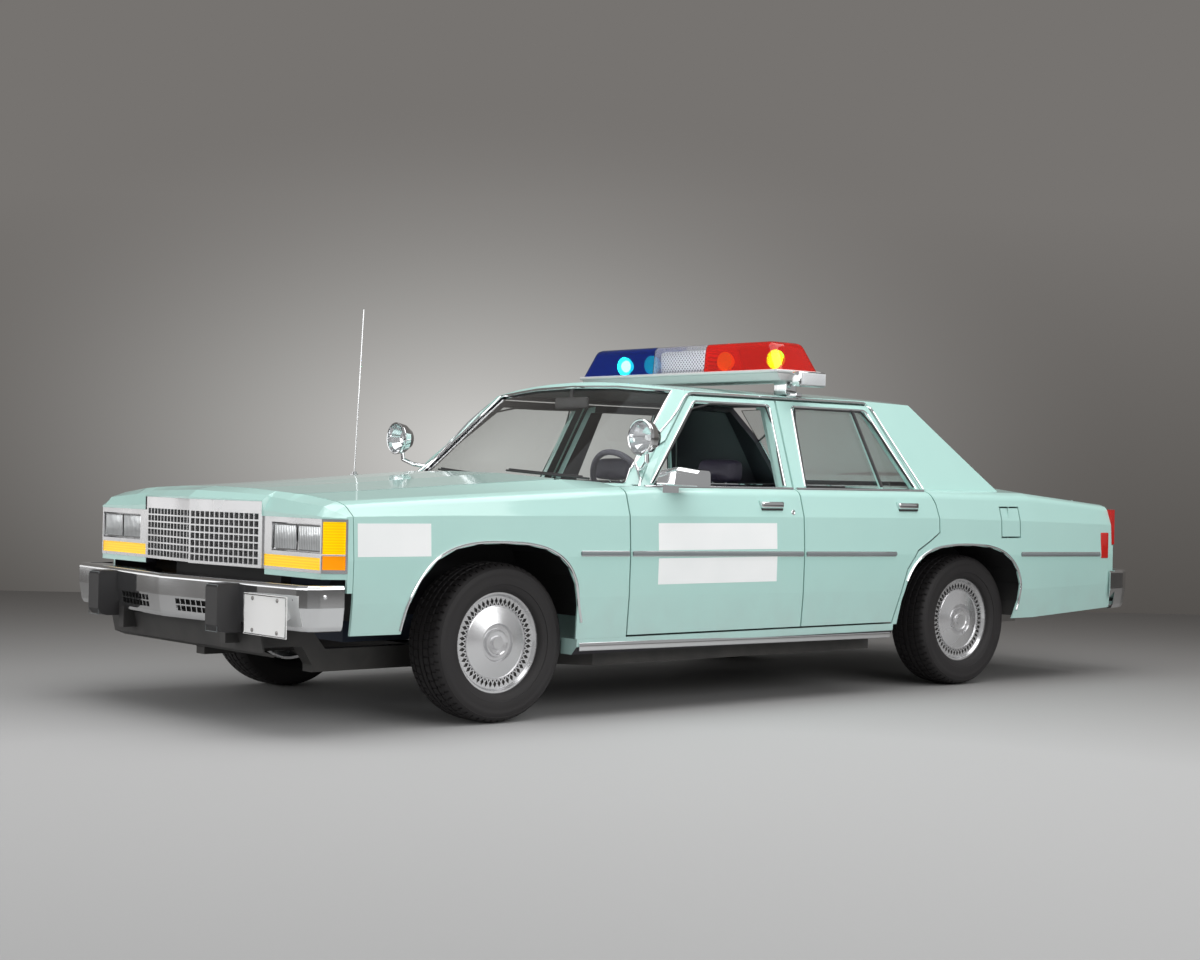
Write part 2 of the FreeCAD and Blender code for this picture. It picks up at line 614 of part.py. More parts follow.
def fuel_flap():
    x, y, z = FUEL_PIN
    skin = THIN_SKIN.common(prism(FUEL_DOOR, "XZ", SIDE_Y - 84, OUT_Y))
    knuckle = cyl(x, y, z, FUEL_KNUCKLE_R, 100)
    web = box(x - 5, x + 5, y, y + 14, z - 50, z + 50).common(LOWER)
    return fuse([skin, knuckle, web]).cut(cyl(x, y, z, FUEL_PIN_R + RUNNING, 120))


side = body_side()
left_side = side.cut(prism(grown(FUEL_DOOR, SHUT), "XZ", FUEL_POCKET_Y, OUT_Y))
left_side = fuse([largest(left_side), fuel_pocket()])
save("body_side_left", largest(left_side))
save("fuel_door", fuel_flap())
save("body_side_right", mirrored(largest(side)))

roof = CABIN.cut(greenhouse(ROOF_T)).common(
    box(REAR_X + 3, -1000, -SIDE_Y, SIDE_Y, ROOF_SPLIT_Z, 1500))
roof = roof.cut(screen_prism()).cut(backlight_prism())
save("roof", roof)

pane = greenhouse(SCREEN_IN).cut(greenhouse(SCREEN_IN + 6))
save("windshield", largest(pane.common(screen_prism(-SEAT))))
save("rear_window", largest(pane.common(backlight_prism(-SEAT))))

# ---------------------------------------------------------------- front of the body

# Seam between fender and header panel, from the hood's corner round to the side
CORNER_SEAM_X = 782.0
SHOULDER_SEAM_X = 767.0
FEATURE_SEAM_X = 752.0
SIDE_SEAM_X = 747.0
seam_ahead = prism([(1000, SIDE_Y - 420), (CORNER_SEAM_X + 1, SIDE_Y - 420),
                    (CORNER_SEAM_X + 1, SIDE_Y - 339), (CORNER_SEAM_X, SIDE_Y - 329),
                    (CORNER_SEAM_X - 7, SIDE_Y - 110), (SHOULDER_SEAM_X, SIDE_Y - 65),
                    (FEATURE_SEAM_X, SIDE_Y - 34), (SIDE_SEAM_X, SIDE_Y), (SIDE_SEAM_X, OUT_Y),
                    (1000, OUT_Y)], "XY", 100, 1100)


def fender():
    skin = THIN_SKIN.common(box(-600, 800, SIDE_Y - 584, OUT_Y, SILL_TOP_Z + SEAT, 1100))
    skin = skin.cut(prism(hood_outline(LID_GAP), "XY", 700, 1100)).cut(seam_ahead)
    skin = skin.cut(prism(FRONT_ARCH, "XZ", 300, OUT_Y))
    skin = skin.cut(box(500, 1000, 300, OUT_Y, 100, FENDER_BOTTOM_Z))
    skin = skin.cut(box(-700, HOOD_REAR_X + 28, 300, SIDE_Y - 219, 700, 1100))
    return largest(skin)


fender_shape = fender()
save("front_fender_left", fender_shape)
save("front_fender_right", mirrored(fender_shape))

hood_skin = LID_SKIN.common(prism(hood_outline(0), "XY", 800, 1100))
HOOD_PIVOT = (-362.0, 938.0)
HOOD_HINGE_Y = SIDE_Y - 284
hood_arm = prism([(-374, 926), (-350, 926), (-320, 1000), (-374, 1000)], "XZ",
                 HOOD_HINGE_Y - 6, HOOD_HINGE_Y + 6).common(LOWER)
hood_arm = fuse([hood_arm, cyl(HOOD_PIVOT[0], HOOD_HINGE_Y, HOOD_PIVOT[1], 13, 12, "Y")])
hood_arm = hood_arm.cut(cyl(HOOD_PIVOT[0], HOOD_HINGE_Y, HOOD_PIVOT[1], LID_PIN_R + RUNNING, 40, "Y"))
save("hood", fuse([hood_skin, hood_arm, mirrored(hood_arm)]))

cowl_sheet = prism([(-488, FLOOR_Z), (-480, FLOOR_Z), (-480, 900), (-404, 912), (-404, 920),
                    (-560, 945), (-650, 957), (-650, 947), (-560, 935), (-488, 908)], "XZ",
                   -COWL_HALF, COWL_HALF)
cowl_front = CABIN_SKIN.common(box(-900, -500, -COWL_HALF, COWL_HALF, 925, 974)).cut(screen_prism())
gearbox_gap = box(-500, -470, -152, 152, 200, 430)
hinge_y0, hinge_y1 = HOOD_HINGE_Y + 9, HOOD_HINGE_Y + 21
hood_hinge = fuse([box(-384, -340, hinge_y0, hinge_y1, 880, 950),
                   box(-484, -340, hinge_y0, hinge_y1, 880, 898),
                   box(-404, -340, hinge_y0, hinge_y1, 880, 905),
                   cyl(HOOD_PIVOT[0], HOOD_HINGE_Y + 5, HOOD_PIVOT[1], LID_PIN_R, 30, "Y")])
cowl = fuse([cowl_sheet.cut(gearbox_gap), cowl_front, hood_hinge, mirrored(hood_hinge)])
save("cowl", cowl)

# Header panel between hood and grille, sections across the car from the centre outwards:
# y, rear x, rear z, brow x, brow z, front edge x, front edge z
HEADER_ROWS = [
    (0, HOOD_FRONT_X + HOOD_GAP, 931, 890, 915, 927, 886),
    (288, HOOD_FRONT_X - 3 + HOOD_GAP, 926.8, 862, 909, 895, 884),
    (GRILLE_HALF + 2 * SEAT, HOOD_FRONT_X - 5 + HOOD_GAP, 919.5, 842, 903, 869.5, 882),
    (GRILLE_HALF + 6, HOOD_FRONT_X - 5 + HOOD_GAP, 919.2, 836, 897, 864, 844),
    (SIDE_Y - 366, HOOD_FRONT_X - 13 + HOOD_GAP, 911.5, 836, 888, 864, 838),
    (SIDE_Y - 329, CORNER_SEAM_X + SEAM, 909.5, 836, 884, 864, 836),
    (SIDE_Y - 110, CORNER_SEAM_X - 7 + SEAM, 887, 834, 868, 864, 833),
    (SIDE_Y - 81, SHOULDER_SEAM_X + 3 + SEAM, 878, 826, 856, 862, 830),
    (SIDE_Y - 65, SHOULDER_SEAM_X + SEAM, 872, 812, 850, 838, 828),
    (SIDE_Y - 34, FEATURE_SEAM_X + SEAM, 833, 772, 831, 788, 826),
]
HEADER_BOTTOM_Z = LAMP_TOP_Z + SEAT
header_wires = []
for y, rear_x, rear_z, brow_x, brow_z, edge_x, edge_z in (
        [(-row[0],) + row[1:] for row in reversed(HEADER_ROWS[1:])] + HEADER_ROWS):
    corners = [(rear_x, HEADER_BOTTOM_Z), (rear_x, rear_z), (brow_x, brow_z), (edge_x, edge_z),
               (edge_x, HEADER_BOTTOM_Z)]
    header_wires.append(Part.makePolygon([V(x, y, z) for x, z in corners + corners[:1]]))
header = Part.makeLoft(header_wires, True, True)
header = header.cut(box(836, 1000, -GRILLE_HALF - SEAT, GRILLE_HALF + SEAT, 600, GRILLE_TOP_Z + SEAT))
cap_plan = [(FEATURE_SEAM_X + 1 + SEAM, SIDE_Y - 60), (FEATURE_SEAM_X + SEAM, SIDE_Y - 34),
            (SIDE_SEAM_X + SEAM, SIDE_Y), (SIDE_SEAM_X + SEAM, OUT_Y), (777, OUT_Y), (777, SIDE_Y - 60)]
cap = LOWER.cut(lower_body(14)).common(prism(cap_plan, "XY", 545, 832))
filler_plan = [(812, GRILLE_HALF + 10), (858, GRILLE_HALF + 10), (858, SIDE_Y - 82), (776, SIDE_Y - 28),
               (757, SIDE_Y - 30), (758, SIDE_Y - 42), (790, SIDE_Y - 60), (812, SIDE_Y - 90)]
filler = prism(filler_plan, "XY", GRILLE_BOTTOM_Z - 22, GRILLE_BOTTOM_Z - SEAT)
save("header_panel", fuse([header, cap, mirrored(cap), filler, mirrored(filler)]))

# Egg-crate grille under a plain band, its two halves meeting in a ridge
GRILLE_SIDE_X = 866.0
GRILLE_RIDGE_X = 922.0
GRILLE_DEPTH = 26.0
GRILLE_COLUMNS = 14        # in each half
GRILLE_ROWS = 7
GRILLE_BAR = 6.0
GRILLE_EDGE = 18.0
GRILLE_BAND = 42.0
grille_plan = across([(GRILLE_RIDGE_X - GRILLE_DEPTH, 0), (GRILLE_RIDGE_X, 0),
                      (GRILLE_SIDE_X, GRILLE_HALF), (GRILLE_SIDE_X - GRILLE_DEPTH, GRILLE_HALF)][1:])
grille_plan.append((GRILLE_RIDGE_X - GRILLE_DEPTH, 0))
column_pitch = (GRILLE_HALF - GRILLE_EDGE - 2 * GRILLE_BAR) / GRILLE_COLUMNS
row_pitch = (GRILLE_TOP_Z - GRILLE_BAND - GRILLE_BOTTOM_Z - GRILLE_EDGE + GRILLE_BAR) / GRILLE_ROWS
cells = []
for column in range(GRILLE_COLUMNS):
    y0 = 2 * GRILLE_BAR + column * column_pitch
    for row in range(GRILLE_ROWS):
        z0 = GRILLE_BOTTOM_Z + GRILLE_EDGE - GRILLE_BAR + row * row_pitch
        cell = box(800, 1000, y0, y0 + column_pitch - GRILLE_BAR, z0, z0 + row_pitch - GRILLE_BAR)
        cells.append(cell)
cells = Part.Compound(cells)
grille = prism(grille_plan, "XY", GRILLE_BOTTOM_Z, GRILLE_TOP_Z).cut(cells).cut(mirrored(cells))
save("grille", grille)

# Lamp bezels, wrapping round the corners; plans as (x, y)
BEZEL_BACK_X = 800.0
BEZEL_X = 860.0
CORNER_Y = SIDE_Y - 81
LAMP_IN_Y = GRILLE_HALF + 63
LAMP_OUT_Y = SIDE_Y - 89
LAMP_GAP = 8.0
LAMP_BACK_X = 826.0
PARK_BACK_X = 830.0
bezel = prism([(BEZEL_BACK_X, GRILLE_HALF + SEAT), (BEZEL_X, GRILLE_HALF + SEAT), (BEZEL_X, CORNER_Y),
               (777 + SEAT, SIDE_Y - 27), (777 + SEAT, SIDE_Y - 40), (BEZEL_BACK_X, SIDE_Y - 60)], "XY",
              GRILLE_BOTTOM_Z, LAMP_TOP_Z)
corner_pocket = [(812, SIDE_Y - 79), (900, SIDE_Y - 79), (900, OUT_Y), (784, OUT_Y), (784, SIDE_Y - 46)]
corner_lens = [(814, SIDE_Y - 77), (855, SIDE_Y - 77), (786, SIDE_Y - 32), (786, SIDE_Y - 44)]
CORNER_LENSES = [(GRILLE_BOTTOM_Z + 14, 684.0), (690.0, LAMP_TOP_Z - 10)]
PARK_Z = (GRILLE_BOTTOM_Z + 12, 676.0)
HEAD_Z = (692.0, 802.0)
bezel = bezel.cut(box(LAMP_BACK_X, 900, LAMP_IN_Y, LAMP_OUT_Y, *HEAD_Z))
bezel = bezel.cut(box(PARK_BACK_X, 900, GRILLE_HALF + 8, LAMP_OUT_Y, *PARK_Z))
for low_z, high_z in CORNER_LENSES:
    bezel = bezel.cut(prism(corner_pocket, "XY", low_z, high_z))
save("lamp_bezels", both(largest(bezel)))
lamp_w = (LAMP_OUT_Y - LAMP_IN_Y - 2 * LAMP_GAP) / 2
head_lamps = [box(LAMP_BACK_X + SEAT, 846, y, y + lamp_w, HEAD_Z[0] + 5, HEAD_Z[1] - 5)
              for y in (LAMP_IN_Y + LAMP_GAP / 2, LAMP_OUT_Y - LAMP_GAP / 2 - lamp_w)]
save("head_lamps", Part.Compound([both(lamp) for lamp in head_lamps]))
signals = [box(PARK_BACK_X + SEAT, 857, GRILLE_HALF + 8 + SEAT, LAMP_OUT_Y - SEAT, PARK_Z[0] + SEAT,
               PARK_Z[1] - SEAT)]
for low_z, high_z in CORNER_LENSES:
    signals.append(prism(corner_lens, "XY", low_z + SEAT, high_z - SEAT))
save("signal_lamps", Part.Compound([both(lamp) for lamp in signals]))

# Radiator and the support that carries lamps and grille
FRONT_RAIL_TOP_Z = 390.0
RAIL_IN_Y = RAIL_OUT_Y - RAIL_W
radiator = [box(700, 745, -RAIL_IN_Y - 30, RAIL_IN_Y + 30, FRONT_RAIL_TOP_Z + SEAT, 858),
            box(744, 785, -(SIDE_Y - 344), SIDE_Y - 344, 805, 866)]
for support in both(box(781, BEZEL_BACK_X - SEAT, GRILLE_HALF + 10, SIDE_Y - 284, 630, 820)).Solids:
    radiator.append(support)
save("radiator", fuse(radiator))


def bumper_section(top, drop):
    """Channel: shelf, upright face, receding lower face and lip. Outward offset, z, radius."""
    return [(-48, top - 7, 0), (-48, top, 0), (0, top, 16), (0, top - 0.475 * drop, 0),
            (-12, top - 0.876 * drop, 0), (-22, top - 0.972 * drop, 8), (-48, top - drop, 0),
            (-48, top - drop + 6, 0), (-26, top - 0.972 * drop + 5, 0), (-18, top - 0.876 * drop + 3, 0),
            (-6, top - 0.475 * drop - 2, 0), (-6, top - 7, 10)]


def foremost(shape):
    return max(shape.Solids, key=lambda s: s.BoundBox.XMax)


bumper_half = [(1052, 0), (965, SIDE_Y - 79), (945, SIDE_Y - 34), (900, SIDE_Y - 16), (800, SIDE_Y - 9)]
bumper_path = list(reversed(bumper_half)) + [(x, -y) for x, y in bumper_half[1:]]
front_bumper = swept(bumper_path, bumper_section(BUMPER_TOP_Z, 177.0))
shelf_plan = across([(1010, 0), (920, SIDE_Y - 94), (870, SIDE_Y - 110), (870, 0)])
front_bumper = front_bumper.fuse(prism(shelf_plan, "XY", BUMPER_TOP_Z - 7, BUMPER_TOP_Z))
slots = []
for column in range(8):
    y0 = 115 + column * 36
    for z0 in (BUMPER_TOP_Z - 141, BUMPER_TOP_Z - 114):
        slots.append(box(990, 1100, y0, y0 + 30, z0, z0 + 21))
slots = Part.Compound(slots)
front_bumper = front_bumper.cut(slots).cut(mirrored(slots)).removeSplitter()
save("front_bumper", front_bumper)

GUARD_Y = 500.0
GUARD_HALF = 45.0
guard = prism([(960, 566), (1078, 566), (1092, 552), (1092, 408), (1078, 386), (1050, 378), (960, 378)],
              "XZ", GUARD_Y - GUARD_HALF, GUARD_Y + GUARD_HALF)
guard = guard.cut(front_bumper).cut(box(900, 986, GUARD_Y - 60, GUARD_Y + 60, 300, 600))
save("bumper_guards", both(foremost(guard)))

PLATE_Y = SIDE_Y - 232.0
PLATE_Z = 457.0
PLATE_X = 1004.0
plate_bracket = foremost(box(940, PLATE_X, PLATE_Y - 60, PLATE_Y + 60, PLATE_Z - 25, PLATE_Z + 25).cut(
    front_bumper))
plate = fuse([box(PLATE_X, PLATE_X + 3, PLATE_Y - 155, PLATE_Y + 155, PLATE_Z - 78, PLATE_Z + 78),
              plate_bracket])
PLATE_HOLES = (177.8, 120.6)
PLATE_HOLE_R = 3.5
for dy in (-PLATE_HOLES[0] / 2, PLATE_HOLES[0] / 2):
    for dz in (-PLATE_HOLES[1] / 2, PLATE_HOLES[1] / 2):
        plate = plate.cut(cyl(PLATE_X, PLATE_Y + dy, PLATE_Z + dz, PLATE_HOLE_R, 30, "X"))
save("number_plate", plate)
valance = prism([(944, 398), (953, 398), (931, 300), (884, 282), (880, 289), (925, 306)], "XZ",
                -(SIDE_Y - 364), SIDE_Y - 364).cut(front_bumper)
valance = largest(valance)
save("front_valance", valance)

# ---------------------------------------------------------------- rear of the body

lid_top = LID_SKIN.common(prism(deck_outline(0), "XY", 760, 1100)).common(
    box(TAIL_X - 40, TRUNK_FRONT_X + 345, -SIDE_Y, SIDE_Y, 800, 1100))
lid_back = box(TAIL_X - 22, TAIL_X, -(SIDE_Y - 294), SIDE_Y - 294, 700, 925)
TRUNK_PIVOT = (TRUNK_FRONT_X + 70, 966.0)
TRUNK_HINGE_Y = SIDE_Y - 424
neck = prism([(TRUNK_PIVOT[0] - 10, 966), (TRUNK_PIVOT[0] + 10, 966), (TRUNK_PIVOT[0] + 10, 850),
              (TRUNK_FRONT_X - 95, 850), (TRUNK_FRONT_X - 95, 985), (TRUNK_FRONT_X - 70, 985),
              (TRUNK_FRONT_X - 70, 872), (TRUNK_PIVOT[0] - 10, 872)], "XZ",
             TRUNK_HINGE_Y - 6, TRUNK_HINGE_Y + 6)
neck = fuse([neck, cyl(TRUNK_PIVOT[0], TRUNK_HINGE_Y, TRUNK_PIVOT[1], 12, 12, "Y")])
neck = neck.cut(cyl(TRUNK_PIVOT[0], TRUNK_HINGE_Y, TRUNK_PIVOT[1], LID_PIN_R + RUNNING, 40, "Y"))
save("trunk_lid", fuse([lid_top, lid_back, neck, mirrored(neck)]))

DECK_HALF = QUARTER_IN_Y - SEAT
deck = LOWER.cut(lower_body(5)).common(
    box(TRUNK_FRONT_X + LID_GAP, TRUNK_FRONT_X + 155, -DECK_HALF, DECK_HALF, 900, 1100))
deck = deck.cut(CABIN)
shelf = box(REAR_X - 297, REAR_X + 68, -DECK_HALF, DECK_HALF, 950 + SEAT, 958)
glass_sill = CABIN_SKIN.common(box(REAR_X - 497, REAR_X - 197, -DECK_HALF, DECK_HALF, 925, 1006))
glass_sill = glass_sill.cut(backlight_prism())
glass_sill = glass_sill.cut(both(box(TRUNK_FRONT_X + 10, TRUNK_FRONT_X + 95, TRUNK_HINGE_Y - 14, DECK_HALF,
                                     900, 982)))
hinge_hanger = box(TRUNK_PIVOT[0] - 14, TRUNK_PIVOT[0] + 14, TRUNK_HINGE_Y + 8, TRUNK_HINGE_Y + 16,
                   TRUNK_PIVOT[1] - 14, 1000).common(LOWER)
hinge_hanger = hinge_hanger.fuse(cyl(TRUNK_PIVOT[0], TRUNK_HINGE_Y + 2, TRUNK_PIVOT[1], LID_PIN_R, 26, "Y"))
save("rear_deck", fuse([deck, shelf, glass_sill, hinge_hanger, mirrored(hinge_hanger)]))

TAIL_HALF = SIDE_Y - 29
save("tail_panel", box(TAIL_X - 20, TAIL_X, -TAIL_HALF, TAIL_HALF, 446, 690))
lamps = box(TAIL_X - 30, TAIL_X, SIDE_Y - 284, TAIL_HALF, 695, 880)
save("tail_lamps", both(lamps))
rear_half = [(TAIL_X - 238, 0), (TAIL_X - 217, SIDE_Y - 104), (TAIL_X - 170, SIDE_Y - 49),
             (TAIL_X - 105, SIDE_Y - 22), (TAIL_X + 25, SIDE_Y - 9)]
rear_path = [(x, -y) for x, y in reversed(rear_half[1:])] + rear_half
rear_bumper = swept(rear_path, bumper_section(558.0, 208.0)).cut(
    box(TAIL_X - 24, TAIL_X + 100, 16 - SIDE_Y, SIDE_Y - 16, 300, 700))
save("rear_bumper", rear_bumper)

# ---------------------------------------------------------------- underbody

FLOOR_LINE = [(-488 - SEAT, FLOOR_Z), (REAR_X + 583, FLOOR_Z), (REAR_X + 483, KICK_Z),
              (REAR_X - 297, KICK_Z), (REAR_X - 397, 448), (TAIL_X + 17, 448)]
tunnel_gap = prism([(-150, 280), (-150, 301), (150, 301), (150, 280)], "YZ", REAR_X + 603, -480)
tunnel_out = prism([(-152, 296), (-112, 430), (112, 430), (152, 296)], "YZ", REAR_X + 525, -488 - SEAT)
tunnel_in = prism([(-144, 280), (-104, 422), (104, 422), (144, 280)], "YZ", REAR_X + 403, -480)
wheel_gap = box(REAR_X - 427, REAR_X + 648, HALF_TRACK - 178, SIDE_Y, 100, KICK_Z + 82)
floor = sheet(FLOOR_LINE, FLOOR_T, -FLOOR_HALF, FLOOR_HALF).cut(tunnel_gap)
floor = floor.cut(wheel_gap).cut(mirrored(wheel_gap))
floor = floor.cut(tunnel_in).fuse(tunnel_out.cut(tunnel_in))
save("floor_pan", largest(floor))

HOUSE_IN_Y = HALF_TRACK - 170
rear_house = prism(grown(REAR_ARCH, 38), "XZ", HOUSE_IN_Y, SIDE_Y).cut(
    prism(grown(REAR_ARCH, 30), "XZ", HOUSE_IN_Y + 8, SIDE_Y))
rear_house = rear_house.common(lower_body(PANEL_T + SEAT)).common(
    box(REAR_X - 697, REAR_X + 903, HOUSE_IN_Y - 20, SIDE_Y, TYRE_R + 16, TYRE_R + 476))
rear_house = rear_house.cut(box(REAR_X + 263, REAR_X + 703, PILLAR_OUT_Y, OUT_Y, 300, TYRE_R + 476))
rear_house = rear_house.cut(
    box(REAR_X - 60, REAR_X + 60, HOUSE_IN_Y - 20, HOUSE_IN_Y + 20, 300, TYRE_R + 90))
FRONT_HOUSE_IN_Y = KINGPIN_Y - 182
front_house = prism(grown(FRONT_ARCH, 88), "XZ", FRONT_HOUSE_IN_Y, SIDE_Y).cut(
    prism(grown(FRONT_ARCH, 80), "XZ", FRONT_HOUSE_IN_Y + 8, SIDE_Y))
front_house = front_house.common(lower_body(PANEL_T + SEAT)).common(
    box(-479, 740, FRONT_HOUSE_IN_Y - 8, SIDE_Y, TYRE_R + 96, 880))
front_house = front_house.cut(box(-90, 90, FRONT_HOUSE_IN_Y - 8, FRONT_HOUSE_IN_Y + 17, 400, TYRE_R + 158))
save("wheelhouses", Part.Compound([both(largest(rear_house)), both(largest(front_house))]))

RAIL_LOW_Z = 200.0
RAIL_TOP_Z = 290.0
UNDER_RAIL_Z = 286.0
MID_RAIL_OUT_Y = FLOOR_HALF
MID_RAIL_IN_Y = MID_RAIL_OUT_Y - RAIL_W
REAR_RAIL_Y = HALF_TRACK - 320
rails = fuse([box(-300, 620, RAIL_IN_Y, RAIL_OUT_Y, RAIL_LOW_Z, RAIL_TOP_Z),
              prism([(560, RAIL_LOW_Z), (560, RAIL_TOP_Z), (640, FRONT_RAIL_TOP_Z), (915, FRONT_RAIL_TOP_Z),
                     (915, 305), (670, 305), (600, RAIL_LOW_Z)], "XZ", RAIL_IN_Y, RAIL_OUT_Y),
              prism([(-300, RAIL_IN_Y), (-300, RAIL_OUT_Y), (-560, MID_RAIL_OUT_Y), (-640, MID_RAIL_OUT_Y),
                     (-640, MID_RAIL_IN_Y), (-380, RAIL_IN_Y)], "XY", RAIL_LOW_Z, UNDER_RAIL_Z),
              box(REAR_X + 653, -600, MID_RAIL_IN_Y, MID_RAIL_OUT_Y, RAIL_LOW_Z, UNDER_RAIL_Z),
              prism([(REAR_X + 703, MID_RAIL_OUT_Y), (REAR_X + 603, MID_RAIL_OUT_Y),
                     (REAR_X + 423, REAR_RAIL_Y + RAIL_W), (REAR_X + 423, REAR_RAIL_Y),
                     (REAR_X + 503, REAR_RAIL_Y), (REAR_X + 703, MID_RAIL_IN_Y)], "XY",
                    RAIL_LOW_Z, UNDER_RAIL_Z),
              prism([(REAR_X + 503, RAIL_LOW_Z), (REAR_X + 503, UNDER_RAIL_Z), (REAR_X + 343, KICK_Z - 18),
                     (REAR_X - 247, KICK_Z - 18), (REAR_X - 387, 430), (TAIL_X + 5, 430), (TAIL_X + 5, 360),
                     (REAR_X - 407, 360), (REAR_X - 267, KICK_Z - 93), (REAR_X + 283, KICK_Z - 93),
                     (REAR_X + 423, RAIL_LOW_Z)], "XZ", REAR_RAIL_Y, REAR_RAIL_Y + RAIL_W)])
crossmembers = [box(-60, 60, -RAIL_IN_Y, RAIL_IN_Y, RAIL_LOW_Z, 280),
                box(-1150, -1050, -MID_RAIL_IN_Y - 10, MID_RAIL_IN_Y + 10, RAIL_LOW_Z, 230),
                box(TAIL_X + 15, TAIL_X + 70, -REAR_RAIL_Y, REAR_RAIL_Y, 370, 425),
                box(860, 915, -RAIL_IN_Y, RAIL_IN_Y, 310, 380)]
front_bracket = box(880, 1000, RAIL_OUT_Y - 65, RAIL_OUT_Y - 20, 330, 480)
front_bracket = largest(front_bracket.cut(front_bumper).cut(valance))
rear_bracket = box(TAIL_X - 215, TAIL_X + 45, REAR_RAIL_Y + 5, REAR_RAIL_Y + 65, 380, 440)
rear_bracket = largest(rear_bracket.cut(rear_bumper))
save("chassis_frame", fuse([rails, mirrored(rails), front_bracket, mirrored(front_bracket),
                            rear_bracket, mirrored(rear_bracket)] + crossmembers))

GEARBOX_END_X = -900.0
SHAFT_Z = 329.0
SHAFT_R = 38.0
save("engine_block", fuse([box(-330, 330, -240, 240, 290, 800),
                           box(GEARBOX_END_X, -330, -95, 95, 290, 400)]))

BALL_RISE = 118.0          # wheel centre to each ball joint
KNUCKLE_LOW_Z = TYRE_R - BALL_RISE
KNUCKLE_HIGH_Z = TYRE_R + BALL_RISE
lower_arm = prism([(-110, RAIL_OUT_Y + SEAT), (110, RAIL_OUT_Y + SEAT), (22, KINGPIN_Y + 22),
                   (-22, KINGPIN_Y + 22)], "XY", KNUCKLE_LOW_Z - 34, KNUCKLE_LOW_Z - 10)
upper_arm = prism([(-70, RAIL_OUT_Y + 10), (70, RAIL_OUT_Y + 10), (18, KINGPIN_Y + 20),
                   (-18, KINGPIN_Y + 20)], "XY", KNUCKLE_HIGH_Z + 10, KNUCKLE_HIGH_Z + 28)
tower = box(-70, 70, RAIL_OUT_Y + SEAT, RAIL_OUT_Y + 30, KNUCKLE_LOW_Z - 20, KNUCKLE_HIGH_Z + 28)
arms = fuse([lower_arm, upper_arm, tower])
arms = arms.cut(cyl(0, KINGPIN_Y, TYRE_R, KINGPIN_R + RUNNING, 500))
save("front_suspension", both(arms))

spindle = Part.makeCylinder(STUB_R, HALF_TRACK + 40 - KINGPIN_Y, V(0, KINGPIN_Y, TYRE_R), V(0, 1, 0))
upright = box(-26, 26, KINGPIN_Y - 22, KINGPIN_Y + 22, KNUCKLE_LOW_Z - 9, KNUCKLE_HIGH_Z + 9)
kingpin = cyl(0, KINGPIN_Y, TYRE_R, KINGPIN_R, 2 * BALL_RISE + 60)
knuckle = fuse([spindle, upright, kingpin])
save("knuckle_left", knuckle)
save("knuckle_right", mirrored(knuckle))

AXLE_R = 38.0
SPRING_Y = REAR_RAIL_Y + 35
SPRING_TOP_Z = KICK_Z - 93 - SEAT
spring = Part.makeCylinder(50, SPRING_TOP_Z - TYRE_R - 30, V(REAR_X, SPRING_Y, TYRE_R + 30))
axle = [cyl(REAR_X, 0, TYRE_R, AXLE_R, 2 * (HALF_TRACK - 90), "Y"),
        cyl(REAR_X, 0, TYRE_R, STUB_R, 2 * (HALF_TRACK + 40), "Y"),
        cyl(REAR_X, 0, TYRE_R, 130, 150, "Y"),
        rod((REAR_X + 100, 0, SHAFT_Z), (GEARBOX_END_X - SEAT, 0, SHAFT_Z), SHAFT_R)]
save("rear_axle", fuse(axle + [spring, mirrored(spring)]))

exhaust = pipe([(-150, -300, 330), (-420, -300, 258.3), (REAR_X + 573, -300, 258.3),
                (REAR_X + 283, -330, TYRE_R + 76), (REAR_X - 217, -400, TYRE_R + 76),
                (REAR_X - 427, -420, 300), (TAIL_X - 105, -420, 290)], 28)
muffler = box(-2000, -1450, -390, -215, 190, 285)
save("exhaust", fuse([exhaust, muffler]))
save("fuel_tank", box(TAIL_X + 85, REAR_X - 427, -350, 400, 250, 440 - SEAT))

# ---------------------------------------------------------------- cabin

dash = prism([(-600, 640), (-880, 640), (-930, 760), (-905, 890), (-850, 930), (-785, 930), (-760, 905),
              (-500, 885), (-488 - SEAT, 700)], "XZ", -COWL_HALF, COWL_HALF).cut(cowl)
COLUMN_TOP = V(-1040, 400, 930)
COLUMN_DIR = V(-0.9, 0, 0.436)
column = Part.makeCylinder(22, 260, COLUMN_TOP - COLUMN_DIR * 280, COLUMN_DIR)
shaft = Part.makeCylinder(COLUMN_PIN_R, 60, COLUMN_TOP - COLUMN_DIR * 40, COLUMN_DIR)
save("dashboard", fuse([dash, column, shaft]))
WHEEL_R = 190.0
GRIP_R = 14.0
grip = [(WHEEL_R + GRIP_R * math.cos(math.radians(a)), GRIP_R * math.sin(math.radians(a)))
        for a in range(0, 360, 45)]
rim = Part.Face(Part.makePolygon([V(r, 0, h) for r, h in grip + grip[:1]]))
rim = rim.revolve(V(0, 0, 0), V(0, 0, 1), 360)
rim.Placement = FreeCAD.Placement(COLUMN_TOP + COLUMN_DIR * 25, FreeCAD.Rotation(V(0, 0, 1), COLUMN_DIR))
hub = Part.makeCylinder(45, 30, COLUMN_TOP - COLUMN_DIR * 15, COLUMN_DIR)
spoke = Part.makeBox(14, 376, 40, V(-7, -188, -20))
spoke.Placement = FreeCAD.Placement(COLUMN_TOP, FreeCAD.Rotation(V(0, 1, 0), 0))
save("steering_wheel", fuse([rim, hub, spoke]).cut(
    Part.makeCylinder(COLUMN_PIN_R + RUNNING, 200, COLUMN_TOP - COLUMN_DIR * 100, COLUMN_DIR)))

